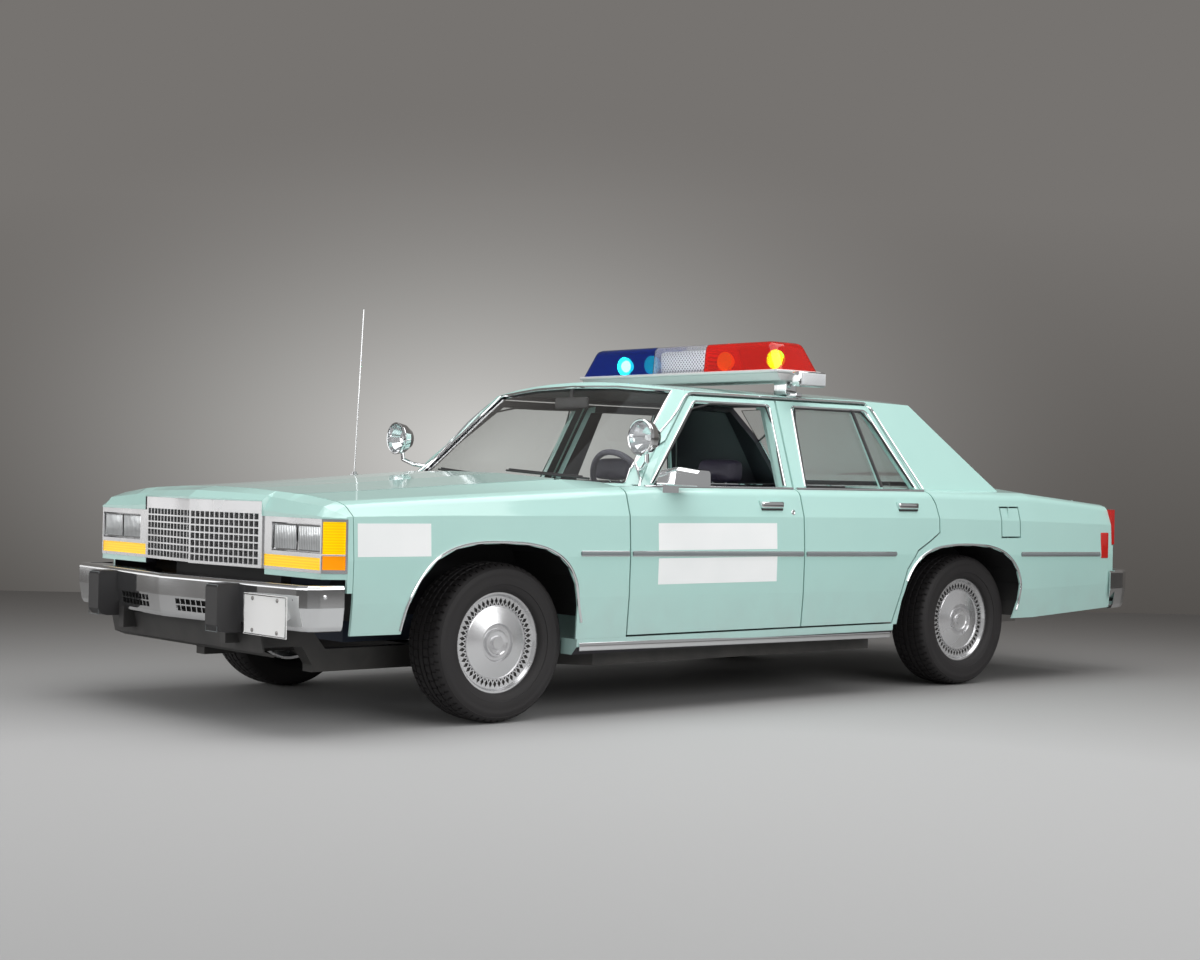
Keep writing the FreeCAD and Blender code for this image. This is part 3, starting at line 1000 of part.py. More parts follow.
FRONT_SEAT_Y = SIDE_Y - 294
REAR_SEAT_Y = QUARTER_IN_Y - 10
front_seat = [prism([(-1130, 470), (-1150, 585), (-1640, 560), (-1640, 420), (-1150, 420)], "XZ",
                    -FRONT_SEAT_Y, FRONT_SEAT_Y),
              prism([(-1560, 480), (-1640, 1000), (-1740, 1000), (-1700, 470)], "XZ",
                    -FRONT_SEAT_Y, FRONT_SEAT_Y),
              box(-1600, -1200, -600, 600, FLOOR_Z, 425)]
for y in (-380, 380):
    front_seat.append(box(-1750, -1650, y - 125, y + 125, 990, 1120))
front_seat = fuse(front_seat).cut(tunnel_out)
rear_seat = fuse([prism([(REAR_X + 723, KICK_Z), (REAR_X + 733, KICK_Z + 122),
                         (REAR_X + 203, KICK_Z + 92), (REAR_X + 203, KICK_Z)],
                        "XZ", -REAR_SEAT_Y, REAR_SEAT_Y),
                  prism([(REAR_X + 263, KICK_Z + 42), (REAR_X + 113, 950), (REAR_X + 43, 950),
                         (REAR_X + 103, KICK_Z + 22)], "XZ", -REAR_SEAT_Y, REAR_SEAT_Y)])
save("seats", Part.Compound([front_seat, rear_seat]))

# ---------------------------------------------------------------- roof and lamps

BAR_X = -1870.0
BAR_LOW_Z = 1460.0
BAR_TOP_Z = 1518.0
BAR_DEPTH = 140.0          # half the domes' depth
DOME_TOP_Z = 1660.0
DOME_WALL = 4.0
bar_base = prism([(BAR_X - 150, BAR_TOP_Z - 8), (BAR_X - 144, BAR_TOP_Z), (BAR_X + 144, BAR_TOP_Z),
                  (BAR_X + 150, BAR_TOP_Z - 8), (BAR_X + 150, BAR_TOP_Z - 24), (BAR_X + 126, BAR_LOW_Z),
                  (BAR_X - 126, BAR_LOW_Z), (BAR_X - 150, BAR_TOP_Z - 24)], "XZ", -BAR_HALF, BAR_HALF)
foot = prism([(BAR_HALF - 182, 1380), (BAR_HALF - 182, BAR_LOW_Z + 5), (BAR_HALF - 92, BAR_LOW_Z + 5),
              (BAR_HALF - 92, 1380)], "YZ", BAR_X - 30, BAR_X + 30).cut(CABIN)
foot = max(foot.Solids, key=lambda s: s.BoundBox.ZMax)
alley_x0, alley_x1 = BAR_X - 85, BAR_X + 95
alley = fuse([box(alley_x0, alley_x1, BAR_HALF - 30, BAR_HALF + 34, 1440, 1512),
              box(alley_x0 + 14, alley_x1 - 14, BAR_HALF + 34, BAR_HALF + 40, 1448, 1504)])
save("light_bar_base", fuse([bar_base, foot, mirrored(foot), alley]))

DOMES = [
    # node, low y, high y, top low y, top high y
    ("light_dome_right", -BAR_HALF, -158, -655, -176),
    ("light_dome_centre", -157, 212, -175, 194),
    ("light_dome_left", 213, BAR_HALF, 195, 655),
]


def dome_block(y0, y1, t0, t1, wall):
    """Lens of the light bar, its front and back leaning in and its long edges rounded."""
    foot_z = BAR_TOP_Z + SEAT - (5 if wall else 0)
    half = BAR_DEPTH - wall
    top_half = half - 22
    low = [(BAR_X + half, foot_z), (BAR_X + half, BAR_TOP_Z + 50), (BAR_X + top_half, DOME_TOP_Z - wall),
           (BAR_X - top_half, DOME_TOP_Z - wall), (BAR_X - half, BAR_TOP_Z + 50), (BAR_X - half, foot_z)]
    radii = [0, 30, 24 - wall, 24 - wall, 30, 0]
    low_y = (BAR_TOP_Z, y0 + wall, y1 - wall)
    high_y = (DOME_TOP_Z, t0 + wall, t1 - wall)
    block = Part.Face(rounded_wire([V(x, -900, z) for x, z in low], radii)).extrude(V(0, 1800, 0))
    ends = [(low_y[1] - (high_y[1] - low_y[1]) * 0.06, low_y[0] - 8.5), (high_y[1], high_y[0]),
            (high_y[2], high_y[0]), (low_y[2] + (low_y[2] - high_y[2]) * 0.06, low_y[0] - 8.5)]
    return block.common(prism(ends, "YZ", BAR_X - 200, BAR_X + 200))


for node, y0, y1, t0, t1 in DOMES:
    outer = dome_block(y0, y1, t0, t1, 0)
    save(node, largest(outer.cut(dome_block(y0, y1, t0, t1, DOME_WALL))))


def turned(profile, origin, axis, across_axis):
    """Solid turned about an axis from rows of (distance along the axis, radius)."""
    points = [origin + axis * a + across_axis * r for a, r in profile]
    return Part.Face(Part.makePolygon(points + points[:1])).revolve(origin, axis, 360)


SPOT = V(PILLAR_X - 10, SIDE_Y - 69, 1172)
SPOT_PROFILE = [(10, 78), (10, 72), (-14, 64), (-38, 46), (-54, 20), (-60, 0), (-88, 0), (-84, 22),
                (-64, 50), (-34, 70), (0, 78)]
bowl = turned(SPOT_PROFILE, SPOT, V(1, 0, 0), V(0, 0, 1))
stem = pipe([(SPOT.x - 30, SPOT.y, SPOT.z - 62), (SPOT.x - 34, SPOT.y - 4, SPOT.z - 104),
             (SPOT.x - 61, SIDE_Y - 124, SPOT.z - 127), (SPOT.x - 108, SIDE_Y - 209, SPOT.z - 139)], 10)
stem = stem.cut(turned([(10, 0), (10, 71), (-60, 1)][:3] + [(-60, 0)], SPOT, V(1, 0, 0), V(0, 0, 1)))
spot = fuse([bowl, stem]).cut(CABIN)
save("spotlights", both(max(spot.Solids, key=lambda s: s.BoundBox.ZMax)))
ANTENNA = V(-382, -(SIDE_Y - 194), 968)
antenna = fuse([Part.makeCylinder(20, 24, ANTENNA), Part.makeCylinder(12, 34, ANTENNA),
                Part.makeCylinder(2.5, 795, ANTENNA + V(0, 0, 22), V(-0.046, 0, 1))])
save("antenna", antenna.cut(LOWER))

# ---------------------------------------------------------------- wheels

# Offset from the wheel's centre plane, radius
BEAD_Y = 72.0
TYRE_PROFILE = [(-BEAD_Y, BEAD_R), (-BEAD_Y, BEAD_R + 6), (4 - TYRE_HALF, BEAD_R + 36),
                (-TYRE_HALF, BEAD_R + 70), (8 - TYRE_HALF, TYRE_R - 18), (24 - TYRE_HALF, TYRE_R),
                (TYRE_HALF - 24, TYRE_R), (TYRE_HALF - 8, TYRE_R - 18), (TYRE_HALF, BEAD_R + 70),
                (TYRE_HALF - 4, BEAD_R + 36), (BEAD_Y, BEAD_R + 6), (BEAD_Y, BEAD_R)]
LATTICE_IN_R = 146.0
LATTICE_OUT_R = 190.0
LATTICE_Y = 66.0
LATTICE_T = 3.0
DIAMONDS = 48
rim_y = BEAD_Y + SEAT
RIM_PROFILE = [(-74, BEAD_R - SEAT), (-74, 188), (-40, 178), (20, 170), (20, 34), (-10, 34),
               (-10, STUB_R + RUNNING), (44, STUB_R + RUNNING), (44, 0), (84, 0), (84, 26), (76, 30),
               (78, 46), (82, 50), (82, 56), (70, 60), (70, 72), (80, 78), (LATTICE_Y, LATTICE_IN_R - 2),
               (LATTICE_Y + 4, LATTICE_IN_R), (LATTICE_Y + 3, LATTICE_IN_R + 3),
               (LATTICE_Y - LATTICE_T, LATTICE_IN_R + 3), (LATTICE_Y - LATTICE_T, LATTICE_IN_R - 6),
               (34, 60), (34, 40), (24, 40), (24, 176), (rim_y - 20, 182),
               (LATTICE_Y - LATTICE_T, LATTICE_OUT_R - 3), (LATTICE_Y, LATTICE_OUT_R - 3),
               (LATTICE_Y + 4, LATTICE_OUT_R), (COVER_FACE, 196), (COVER_FACE, COVER_R), (rim_y, COVER_R),
               (rim_y, BEAD_R - SEAT)]


def ring_point(radius, turn, y):
    return V(radius * math.cos(turn), y, radius * math.sin(turn))


def lattice():
    """Flat ring pierced by a row of diamonds."""
    y = LATTICE_Y - LATTICE_T
    middle = (LATTICE_IN_R + LATTICE_OUT_R) / 2
    faces = [Part.Face([Part.Wire(Part.makeCircle(r, V(0, y, 0), V(0, 1, 0)))])
             for r in (LATTICE_OUT_R - 1, LATTICE_IN_R + 1)]
    holes = []
    step = 2 * math.pi / DIAMONDS
    for i in range(DIAMONDS):
        turn = i * step
        corners = [ring_point(middle + 15, turn, y), ring_point(middle, turn + step * 0.38, y),
                   ring_point(middle - 15, turn, y), ring_point(middle, turn - step * 0.38, y)]
        holes.append(Part.Face(Part.makePolygon(corners + corners[:1])))
        turn += step / 2
        corners = [ring_point(middle - 6, turn, y), ring_point(middle - 17, turn + step * 0.26, y),
                   ring_point(middle - 17, turn - step * 0.26, y)]
        holes.append(Part.Face(Part.makePolygon(corners + corners[:1])))
    ring = faces[0].cut(faces[1]).cut(Part.Compound(holes))
    return ring.extrude(V(0, LATTICE_T, 0))


tyre = turned(TYRE_PROFILE, V(0, HALF_TRACK, TYRE_R), V(0, 1, 0), V(0, 0, 1))
cover_ring = lattice()
cover_ring.translate(V(0, HALF_TRACK, TYRE_R))
rim = turned(RIM_PROFILE, V(0, HALF_TRACK, TYRE_R), V(0, 1, 0), V(0, 0, 1)).fuse(cover_ring)
print("wheel", len(rim.Solids))
for node, x, left in (("front_left", 0, True), ("front_right", 0, False),
                      ("rear_left", REAR_X, True), ("rear_right", REAR_X, False)):
    for kind, shape in (("tyre_", tyre), ("wheel_", rim)):
        placed = shape.copy() if left else mirrored(shape)
        placed.translate(V(x, 0, 0))
        save(kind + node, placed)
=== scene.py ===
import json
import math

import bpy
from mathutils import Matrix, Vector
from mathutils.bvhtree import BVHTree


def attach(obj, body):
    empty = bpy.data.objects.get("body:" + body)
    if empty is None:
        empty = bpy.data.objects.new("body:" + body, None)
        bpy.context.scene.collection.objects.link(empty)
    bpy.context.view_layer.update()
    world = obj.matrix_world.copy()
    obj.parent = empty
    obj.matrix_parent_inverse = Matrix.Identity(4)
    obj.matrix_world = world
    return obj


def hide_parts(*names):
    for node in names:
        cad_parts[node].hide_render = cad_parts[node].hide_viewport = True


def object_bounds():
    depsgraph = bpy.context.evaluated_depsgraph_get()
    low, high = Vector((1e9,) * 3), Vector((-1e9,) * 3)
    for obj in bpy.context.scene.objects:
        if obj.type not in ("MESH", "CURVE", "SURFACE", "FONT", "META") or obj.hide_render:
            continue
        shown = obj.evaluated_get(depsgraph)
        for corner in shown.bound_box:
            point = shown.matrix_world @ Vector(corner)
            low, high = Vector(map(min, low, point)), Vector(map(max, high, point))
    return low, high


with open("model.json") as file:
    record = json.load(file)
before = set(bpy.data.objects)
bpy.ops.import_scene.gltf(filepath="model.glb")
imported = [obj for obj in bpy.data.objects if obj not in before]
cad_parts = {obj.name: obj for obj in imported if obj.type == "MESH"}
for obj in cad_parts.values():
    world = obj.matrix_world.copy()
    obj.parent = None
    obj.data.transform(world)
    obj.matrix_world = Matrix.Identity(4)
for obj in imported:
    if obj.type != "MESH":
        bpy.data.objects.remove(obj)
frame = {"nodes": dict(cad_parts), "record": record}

# %% [markdown]
# # A four-door police patrol car
# The CAD model carries the panels, glass, wheels, lamps and everything that moves. This
# notebook gives each of them its finish and adds what a designer leaves to the surface
# stage: trim strips, tyre tread, lamp lenses, seat covers, signs and small fasteners.
# All lengths are in metres: X points forward, Y to the car's left and Z up.

# %% Sizes kept from the CAD model
cad_low, cad_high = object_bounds()
cad = frame["nodes"]
print("CAD box", [round(v, 3) for v in cad_low], [round(v, 3) for v in cad_high])

# %% [markdown]
# ## Camera
# A long lens from far away keeps the car's long sides nearly parallel. The camera's two
# picture axes are written as vectors, because a head that leans by a degree is easier to
# write that way than with angles.

# %% Camera
CAMERA_PLACE = Vector((4.72734, 7.04984, 0.9975))
CAMERA_RIGHT = Vector((-0.761932, 0.647343, 0.020166))
CAMERA_UP = Vector((0.014537, -0.014035, 0.999796))
LENS_MM = 57.9

scene = bpy.context.scene
camera_data = bpy.data.cameras.new("studio_camera")
camera_data.lens = LENS_MM
camera_data.sensor_width = 36.0
camera = bpy.data.objects.new("studio_camera", camera_data)
scene.collection.objects.link(camera)
backward = CAMERA_RIGHT.cross(CAMERA_UP).normalized()
turn = Matrix((CAMERA_RIGHT, CAMERA_UP, backward)).transposed().to_4x4()
camera.matrix_world = Matrix.Translation(CAMERA_PLACE) @ turn
scene.camera = camera
scene.view_settings.view_transform = "Standard"
print("camera at", tuple(round(v, 2) for v in camera.location))

# %% [markdown]
# ## Shader helpers
# A finish is a Principled BSDF whose colour, roughness and normal come from noise that reads
# Object coordinates, so the pattern is fixed to the car. What several finishes share, such as
# the slight ripple of sprayed paint or the grain of moulded plastic, is a node group: it puts
# out a height and a mask, and each material decides what to do with them.

# %% Small helpers for node trees


def linear(red, green, blue):
    """Turn screen values from 0 to 255 into the linear numbers that shaders use."""
    def channel(v):
        v = v / 255
        return v / 12.92 if v <= 0.04045 else ((v + 0.055) / 1.055) ** 2.4
    return (channel(red), channel(green), channel(blue), 1.0)


def new_material(name, colour, roughness=0.5, metallic=0.0, **sockets):
    """Make a material with one Principled BSDF and return (material, tree, shader)."""
    material = bpy.data.materials.new(name)
    material.use_nodes = True
    tree = material.node_tree
    shader = tree.nodes["Principled BSDF"]
    shader.inputs["Base Color"].default_value = colour
    shader.inputs["Roughness"].default_value = roughness
    shader.inputs["Metallic"].default_value = metallic
    for socket, value in sockets.items():
        shader.inputs[socket.replace("_", " ")].default_value = value
    return material, tree, shader


def object_coordinates(tree):
    return tree.nodes.new("ShaderNodeTexCoord").outputs["Object"]


def add_bump(tree, shader, height, strength, distance):
    bump = tree.nodes.new("ShaderNodeBump")
    bump.inputs["Strength"].default_value = strength
    bump.inputs["Distance"].default_value = distance
    tree.links.new(height, bump.inputs["Height"])
    tree.links.new(bump.outputs["Normal"], shader.inputs["Normal"])


def calculate(tree, operation, first, second=None, clamp=False):
    """Math node on one or two sockets."""
    node = tree.nodes.new("ShaderNodeMath")
    node.operation = operation
    node.use_clamp = clamp
    tree.links.new(first, node.inputs[0])
    if second is not None:
        tree.links.new(second, node.inputs[1])
    return node.outputs["Value"]


def split_axes(tree, vector):
    """The X, Y and Z sockets of a vector."""
    node = tree.nodes.new("ShaderNodeSeparateXYZ")
    tree.links.new(vector, node.inputs["Vector"])
    return node.outputs


def waves(tree, vector, direction, scale):
    node = tree.nodes.new("ShaderNodeTexWave")
    node.bands_direction = direction
    node.inputs["Scale"].default_value = scale
    tree.links.new(vector, node.inputs["Vector"])
    return node


def mix_shaders(tree, mask, first, second):
    """Blend two shaders by a mask and send the result to the surface."""
    mix = tree.nodes.new("ShaderNodeMixShader")
    for place, socket in enumerate((mask, first, second)):
        tree.links.new(socket, mix.inputs[place])
    tree.links.new(mix.outputs["Shader"], tree.nodes["Material Output"].inputs["Surface"])


def mix_colours(tree, mask, first, second):
    """Blend two colours by a mask; each colour is a tuple or a socket."""
    mix = tree.nodes.new("ShaderNodeMix")
    mix.data_type = "RGBA"
    tree.links.new(mask, mix.inputs["Factor"])
    for socket, value in ((mix.inputs["A"], first), (mix.inputs["B"], second)):
        if isinstance(value, tuple):
            socket.default_value = value
        else:
            tree.links.new(value, socket)
    return mix.outputs["Result"]


def remap(tree, value, low, high, new_low, new_high):
    node = tree.nodes.new("ShaderNodeMapRange")
    node.inputs["From Min"].default_value = low
    node.inputs["From Max"].default_value = high
    node.inputs["To Min"].default_value = new_low
    node.inputs["To Max"].default_value = new_high
    tree.links.new(value, node.inputs["Value"])
    return node.outputs["Result"]


def start_group(name, inputs, outputs):
    """Begin a shader node group with named float inputs, a vector and float outputs."""
    group = bpy.data.node_groups.new(name, "ShaderNodeTree")
    group.interface.new_socket("Vector", in_out="INPUT", socket_type="NodeSocketVector")
    for socket, default in inputs.items():
        made = group.interface.new_socket(socket, in_out="INPUT", socket_type="NodeSocketFloat")
        made.default_value = default
    for socket in outputs:
        group.interface.new_socket(socket, in_out="OUTPUT", socket_type="NodeSocketFloat")
    return group, group.nodes.new("NodeGroupInput"), group.nodes.new("NodeGroupOutput")


def use_group(tree, group, **values):
    node = tree.nodes.new("ShaderNodeGroup")
    node.node_tree = group
    tree.links.new(object_coordinates(tree), node.inputs["Vector"])
    for socket, value in values.items():
        node.inputs[socket].default_value = value
    return node


def deselect():
    bpy.ops.object.select_all(action="DESELECT")


print("shader helpers ready")

# %% [markdown]
# ### Shared effects
# `fine_grain` is noise at two sizes, for orange peel in paint, the leather grain pressed into
# plastic and the cast skin of iron: only its size changes. The second group is a mask that grows
# towards the ground in noisy patches: on the plastics it lays dust, and on the paint it only makes
# the lower body greyer.

# %% Fine grain and a fade towards the ground
fine_grain, grain_in, grain_out = start_group(
    "fine_grain", {"Size": 400.0, "Detail": 2.0}, ["Height", "Mask"])
noise = fine_grain.nodes.new("ShaderNodeTexNoise")
fine_grain.links.new(grain_in.outputs["Vector"], noise.inputs["Vector"])
fine_grain.links.new(grain_in.outputs["Size"], noise.inputs["Scale"])
fine_grain.links.new(grain_in.outputs["Detail"], noise.inputs["Detail"])
fine_grain.links.new(noise.outputs["Fac"], grain_out.inputs["Height"])
broad = fine_grain.nodes.new("ShaderNodeTexNoise")
broad.inputs["Scale"].default_value = 3.0
fine_grain.links.new(grain_in.outputs["Vector"], broad.inputs["Vector"])
fine_grain.links.new(broad.outputs["Fac"], grain_out.inputs["Mask"])

ground_fade, film_in, film_out = start_group(
    "ground_fade", {"Top": 0.6, "Amount": 0.3}, ["Mask"])
rise = ground_fade.nodes.new("ShaderNodeMapRange")
rise.inputs["From Min"].default_value = 0.15
rise.inputs["To Min"].default_value = 1.0
rise.inputs["To Max"].default_value = 0.0
ground_fade.links.new(split_axes(ground_fade, film_in.outputs["Vector"])["Z"], rise.inputs["Value"])
ground_fade.links.new(film_in.outputs["Top"], rise.inputs["From Max"])
cloud = ground_fade.nodes.new("ShaderNodeTexNoise")
cloud.inputs["Scale"].default_value = 9.0
ground_fade.links.new(film_in.outputs["Vector"], cloud.inputs["Vector"])
patches = calculate(ground_fade, "MULTIPLY", rise.outputs["Result"], cloud.outputs["Fac"])
film_mask = calculate(ground_fade, "MULTIPLY", patches, film_in.outputs["Amount"])
ground_fade.links.new(film_mask, film_out.inputs["Mask"])
print("groups", [g.name for g in bpy.data.node_groups])

# %% [markdown]
# ## Finishes
# One function per finish. Each returns a material that any node or new piece can wear.

# %% Body paint


def inner_side(tree):
    """Mask of the faces that look into the car or down: they carry trim and undercoat."""
    coordinates = tree.nodes.new("ShaderNodeTexCoord")
    facing = split_axes(tree, coordinates.outputs["Normal"])
    hand = calculate(tree, "SIGN", split_axes(tree, coordinates.outputs["Object"])["Y"])
    inward = calculate(tree, "MULTIPLY", facing["Y"], hand)
    from_side = remap(tree, inward, -0.30, -0.26, 1.0, 0.0)
    from_below = remap(tree, facing["Z"], -0.52, -0.48, 1.0, 0.0)
    return calculate(tree, "MAXIMUM", from_side, from_below)


def make_paint():
    """Pale green enamel under clear coat: very even, with a faint ripple, and greyer towards the
    bottom in patches.
    """
    mint = linear(182, 222, 214)
    deep_mint = linear(175, 216, 209)
    lower_grey = linear(168, 163, 166)
    material, tree, shader = new_material("mint_paint", mint, 0.42, Coat_Weight=1.0,
                                          Coat_Roughness=0.06)
    grain = use_group(tree, fine_grain, Size=220.0)
    film = use_group(tree, ground_fade, Top=0.62, Amount=0.55)
    tone = mix_colours(tree, grain.outputs["Mask"], mint, deep_mint)
    # towards the bottom the paint turns greyer in noisy patches, up to 0.62 m above the floor
    colour = mix_colours(tree, film.outputs["Mask"], tone, lower_grey)
    inside = inner_side(tree)
    trimmed = mix_colours(tree, inside, colour, linear(38, 35, 42))
    tree.links.new(trimmed, shader.inputs["Base Color"])
    tree.links.new(remap(tree, inside, 0.0, 1.0, 1.0, 0.0), shader.inputs["Coat Weight"])
    add_bump(tree, shader, grain.outputs["Height"], 0.04, 0.0006)
    return material


def make_metal(name, colour, roughness, ripple, metallic=1.0):
    """Plated or polished metal, with smears that show only as a change of gloss."""
    material, tree, shader = new_material(name, colour, roughness, metallic)
    grain = use_group(tree, fine_grain, Size=60.0)
    gloss = remap(tree, grain.outputs["Mask"], 0.3, 0.7, roughness * 0.6, roughness * 1.6)
    tree.links.new(gloss, shader.inputs["Roughness"])
    add_bump(tree, shader, grain.outputs["Height"], ripple, 0.0005)
    return material


def make_plastic(name, colour, roughness, grain_size, depth, top=0.3, film=0.0):
    """Moulded plastic, rubber or painted steel: pressed grain and a little dust."""
    material, tree, shader = new_material(name, colour, roughness)
    grain = use_group(tree, fine_grain, Size=grain_size, Detail=4.0)
    faded = tuple(min(1.0, c * 1.35 + 0.01) for c in colour[:3]) + (1.0,)
    tone = mix_colours(tree, grain.outputs["Mask"], colour, faded)
    dirt = use_group(tree, ground_fade, Top=top, Amount=film)
    tree.links.new(mix_colours(tree, dirt.outputs["Mask"], tone, linear(120, 116, 110)),
                   shader.inputs["Base Color"])
    add_bump(tree, shader, grain.outputs["Height"], depth, 0.001)
    return material


def let_light_through(tree, shader, tint):
    """Glass throws only a pale shadow: a shadow ray meets a tinted transparent shader."""
    path = tree.nodes.new("ShaderNodeLightPath")
    pale = tree.nodes.new("ShaderNodeBsdfTransparent")
    pale.inputs["Color"].default_value = tint
    mix_shaders(tree, path.outputs["Is Shadow Ray"], shader.outputs["BSDF"], pale.outputs["BSDF"])


def make_glass(name, colour, roughness=0.0, weight=1.0):
    material, tree, shader = new_material(name, colour, roughness, 0.0, IOR=1.45,
                                          Transmission_Weight=weight)
    grain = use_group(tree, fine_grain, Size=8.0)
    add_bump(tree, shader, grain.outputs["Height"], 0.01, 0.0005)
    let_light_through(tree, shader, tuple(0.35 + 0.65 * c for c in colour[:3]) + (1.0,))
    return material


paint = make_paint()
chrome = make_metal("chrome_plate", (0.80, 0.81, 0.82, 1), 0.07, 0.03)
satin = make_metal("bar_aluminium", (0.70, 0.71, 0.72, 1), 0.28, 0.08)
steel = make_metal("dull_steel", (0.33, 0.32, 0.31, 1), 0.45, 0.25)
tyre_rubber = make_plastic("tyre_rubber", linear(24, 21, 22), 0.66, 300.0, 0.25, 0.15, 0.15)
black_rubber = make_plastic("black_rubber", linear(40, 39, 40), 0.5, 300.0, 0.15)
grey_trim = make_plastic("grey_trim", linear(112, 118, 120), 0.5, 250.0, 0.15)
chassis_black = make_plastic("chassis_black", linear(34, 34, 35), 0.6, 160.0, 0.3, 0.5, 0.5)
engine_paint = make_plastic("engine_paint", linear(52, 66, 90), 0.5, 120.0, 0.4, 0.6, 0.5)
navy_vinyl = make_plastic("navy_vinyl", linear(54, 50, 66), 0.55, 500.0, 0.3)
cabin_grey = make_plastic("cabin_grey", linear(66, 64, 74), 0.6, 600.0, 0.3)
white_enamel = make_plastic("white_enamel", linear(240, 240, 238), 0.35, 150.0, 0.03)
window_glass = make_glass("window_glass", (0.93, 0.95, 0.945, 1))
lamp_glass = make_glass("lamp_glass", (0.96, 0.97, 0.98, 1))
amber_lens = make_glass("amber_lens", (1.0, 0.50, 0.02, 1), 0.1, 0.45)
red_lens = make_glass("red_lens", (0.75, 0.02, 0.015, 1), 0.1, 0.4)
blue_dome = make_glass("blue_dome", (0.04, 0.16, 0.62, 1), 0.03, 0.97)
clear_dome = make_glass("clear_dome", (0.90, 0.91, 0.94, 1), 0.06, 0.95)
red_dome = make_glass("red_dome", (0.95, 0.05, 0.02, 1), 0.03, 0.9)
print("finishes", len(bpy.data.materials))

# %% [markdown]
# ## Dress the CAD nodes
# The record says which material slot each node uses. A table turns slots into finishes, and a
# loop gives every node its material. The meshes are not touched.

# %% Materials for the CAD nodes
SLOT_FINISH = {
    "body_paint": paint, "chrome": chrome, "bar_aluminium": satin, "lamp_glass": lamp_glass,
    "amber_lens": amber_lens, "red_lens": red_lens, "dome_blue": blue_dome,
    "dome_clear": clear_dome, "dome_red": red_dome, "window_glass": window_glass,
    "black_rubber": black_rubber, "tyre_rubber": tyre_rubber, "plate_white": white_enamel,
    "grey_trim": grey_trim, "frame_black": chassis_black, "bare_steel": steel,
    "iron": engine_paint, "cabin_plastic": cabin_grey, "seat_cloth": navy_vinyl,
}
slot_of = {part["node"]: part["material_slot"] for part in frame["record"]["subparts"]}
for name, node in cad.items():
    node.material_slots[0].material = SLOT_FINISH[slot_of[name]]
print("dressed", len(cad), "nodes")

# %% [markdown]
# ## Floor and backdrop
# The car stands on a grey floor in front of a paper backdrop. Both are planes. The backdrop faces
# the camera squarely, with a painted pool of light on it that fades to painted dark corners and to
# painted shade along its foot, made with gradients on Object coordinates. It gives off the colour
# it is written with and no light: only the camera, reflections and glass see it, and it is clear
# from behind.

# %% Floor and backdrop
BACKDROP_AWAY = 15.4
BACKDROP_HIGH = 12.0
STAGE_WIDTH = 60


def glow_mask(tree, centre, spread):
    """1 at a place and fading to 0 at spread metres from it, along each axis."""
    mapping = tree.nodes.new("ShaderNodeMapping")
    mapping.vector_type = "POINT"
    mapping.inputs["Scale"].default_value = tuple(1 / s for s in spread)
    mapping.inputs["Location"].default_value = tuple(-c / s for c, s in zip(centre, spread))
    tree.links.new(object_coordinates(tree), mapping.inputs["Vector"])
    ball = tree.nodes.new("ShaderNodeTexGradient")
    ball.gradient_type = "QUADRATIC_SPHERE"
    tree.links.new(mapping.outputs["Vector"], ball.inputs["Vector"])
    return ball.outputs["Fac"]


view_flat = Vector((-backward.x, -backward.y, 0)).normalized()
backdrop_foot = CAMERA_PLACE + view_flat * BACKDROP_AWAY
backdrop_foot.z = 0
deselect()
bpy.ops.mesh.primitive_plane_add(
    size=1, location=(backdrop_foot.x, backdrop_foot.y, BACKDROP_HIGH / 2))
backdrop = bpy.context.object
backdrop.name = "studio_backdrop"
backdrop.scale = (STAGE_WIDTH, BACKDROP_HIGH, 1)
backdrop_turn = math.atan2(view_flat.y, view_flat.x) - math.radians(90)
backdrop.rotation_euler = (math.radians(90), 0, backdrop_turn)
bpy.ops.object.transform_apply(location=True, rotation=True, scale=True)
# the backdrop's colours are painted light and shade: a lit pool round the glow centre, shaded
# corners and a darker painted shade along its foot
backdrop_shaded = linear(118, 115, 112)
backdrop_lit = linear(214, 213, 210)
paper, paper_tree, paper_shader = new_material("studio_paper", backdrop_shaded, 0.9)
across = view_flat.cross(Vector((0, 0, 1)))
glow_centre = backdrop_foot + across * -0.9 + Vector((0, 0, 1.15))
glow = glow_mask(paper_tree, glow_centre, (5.2, 5.2, 2.9))
backdrop_foot_shade = linear(84, 81, 78)
height = split_axes(paper_tree, object_coordinates(paper_tree))["Z"]
rising = remap(paper_tree, height, 0.0, 3.2, 0.0, 1.0)
shaded_wall = mix_colours(paper_tree, rising, backdrop_foot_shade, backdrop_shaded)
paper_colour = mix_colours(paper_tree, glow, shaded_wall, backdrop_lit)
shine = paper_tree.nodes.new("ShaderNodeEmission")
paper_tree.links.new(paper_colour, shine.inputs["Color"])
unseen = paper_tree.nodes.new("ShaderNodeBsdfTransparent")
path = paper_tree.nodes.new("ShaderNodeLightPath")
facing = paper_tree.nodes.new("ShaderNodeNewGeometry")
seen = path.outputs["Is Camera Ray"]
for other in ("Is Glossy Ray", "Is Transmission Ray"):
    seen = calculate(paper_tree, "MAXIMUM", seen, path.outputs[other])
front_only = calculate(paper_tree, "SUBTRACT", seen, facing.outputs["Backfacing"], clamp=True)
mix_shaders(paper_tree, front_only, unseen.outputs["BSDF"], shine.outputs["Emission"])
paper_tree.nodes.remove(paper_shader)
backdrop.data.materials.append(paper)

deselect()
bpy.ops.mesh.primitive_plane_add(size=1, location=(0, 0, 0))
floor = bpy.context.object
floor.name = "studio_floor"
floor.scale = (STAGE_WIDTH, STAGE_WIDTH, 1)
bpy.ops.object.transform_apply(location=True, rotation=True, scale=True)
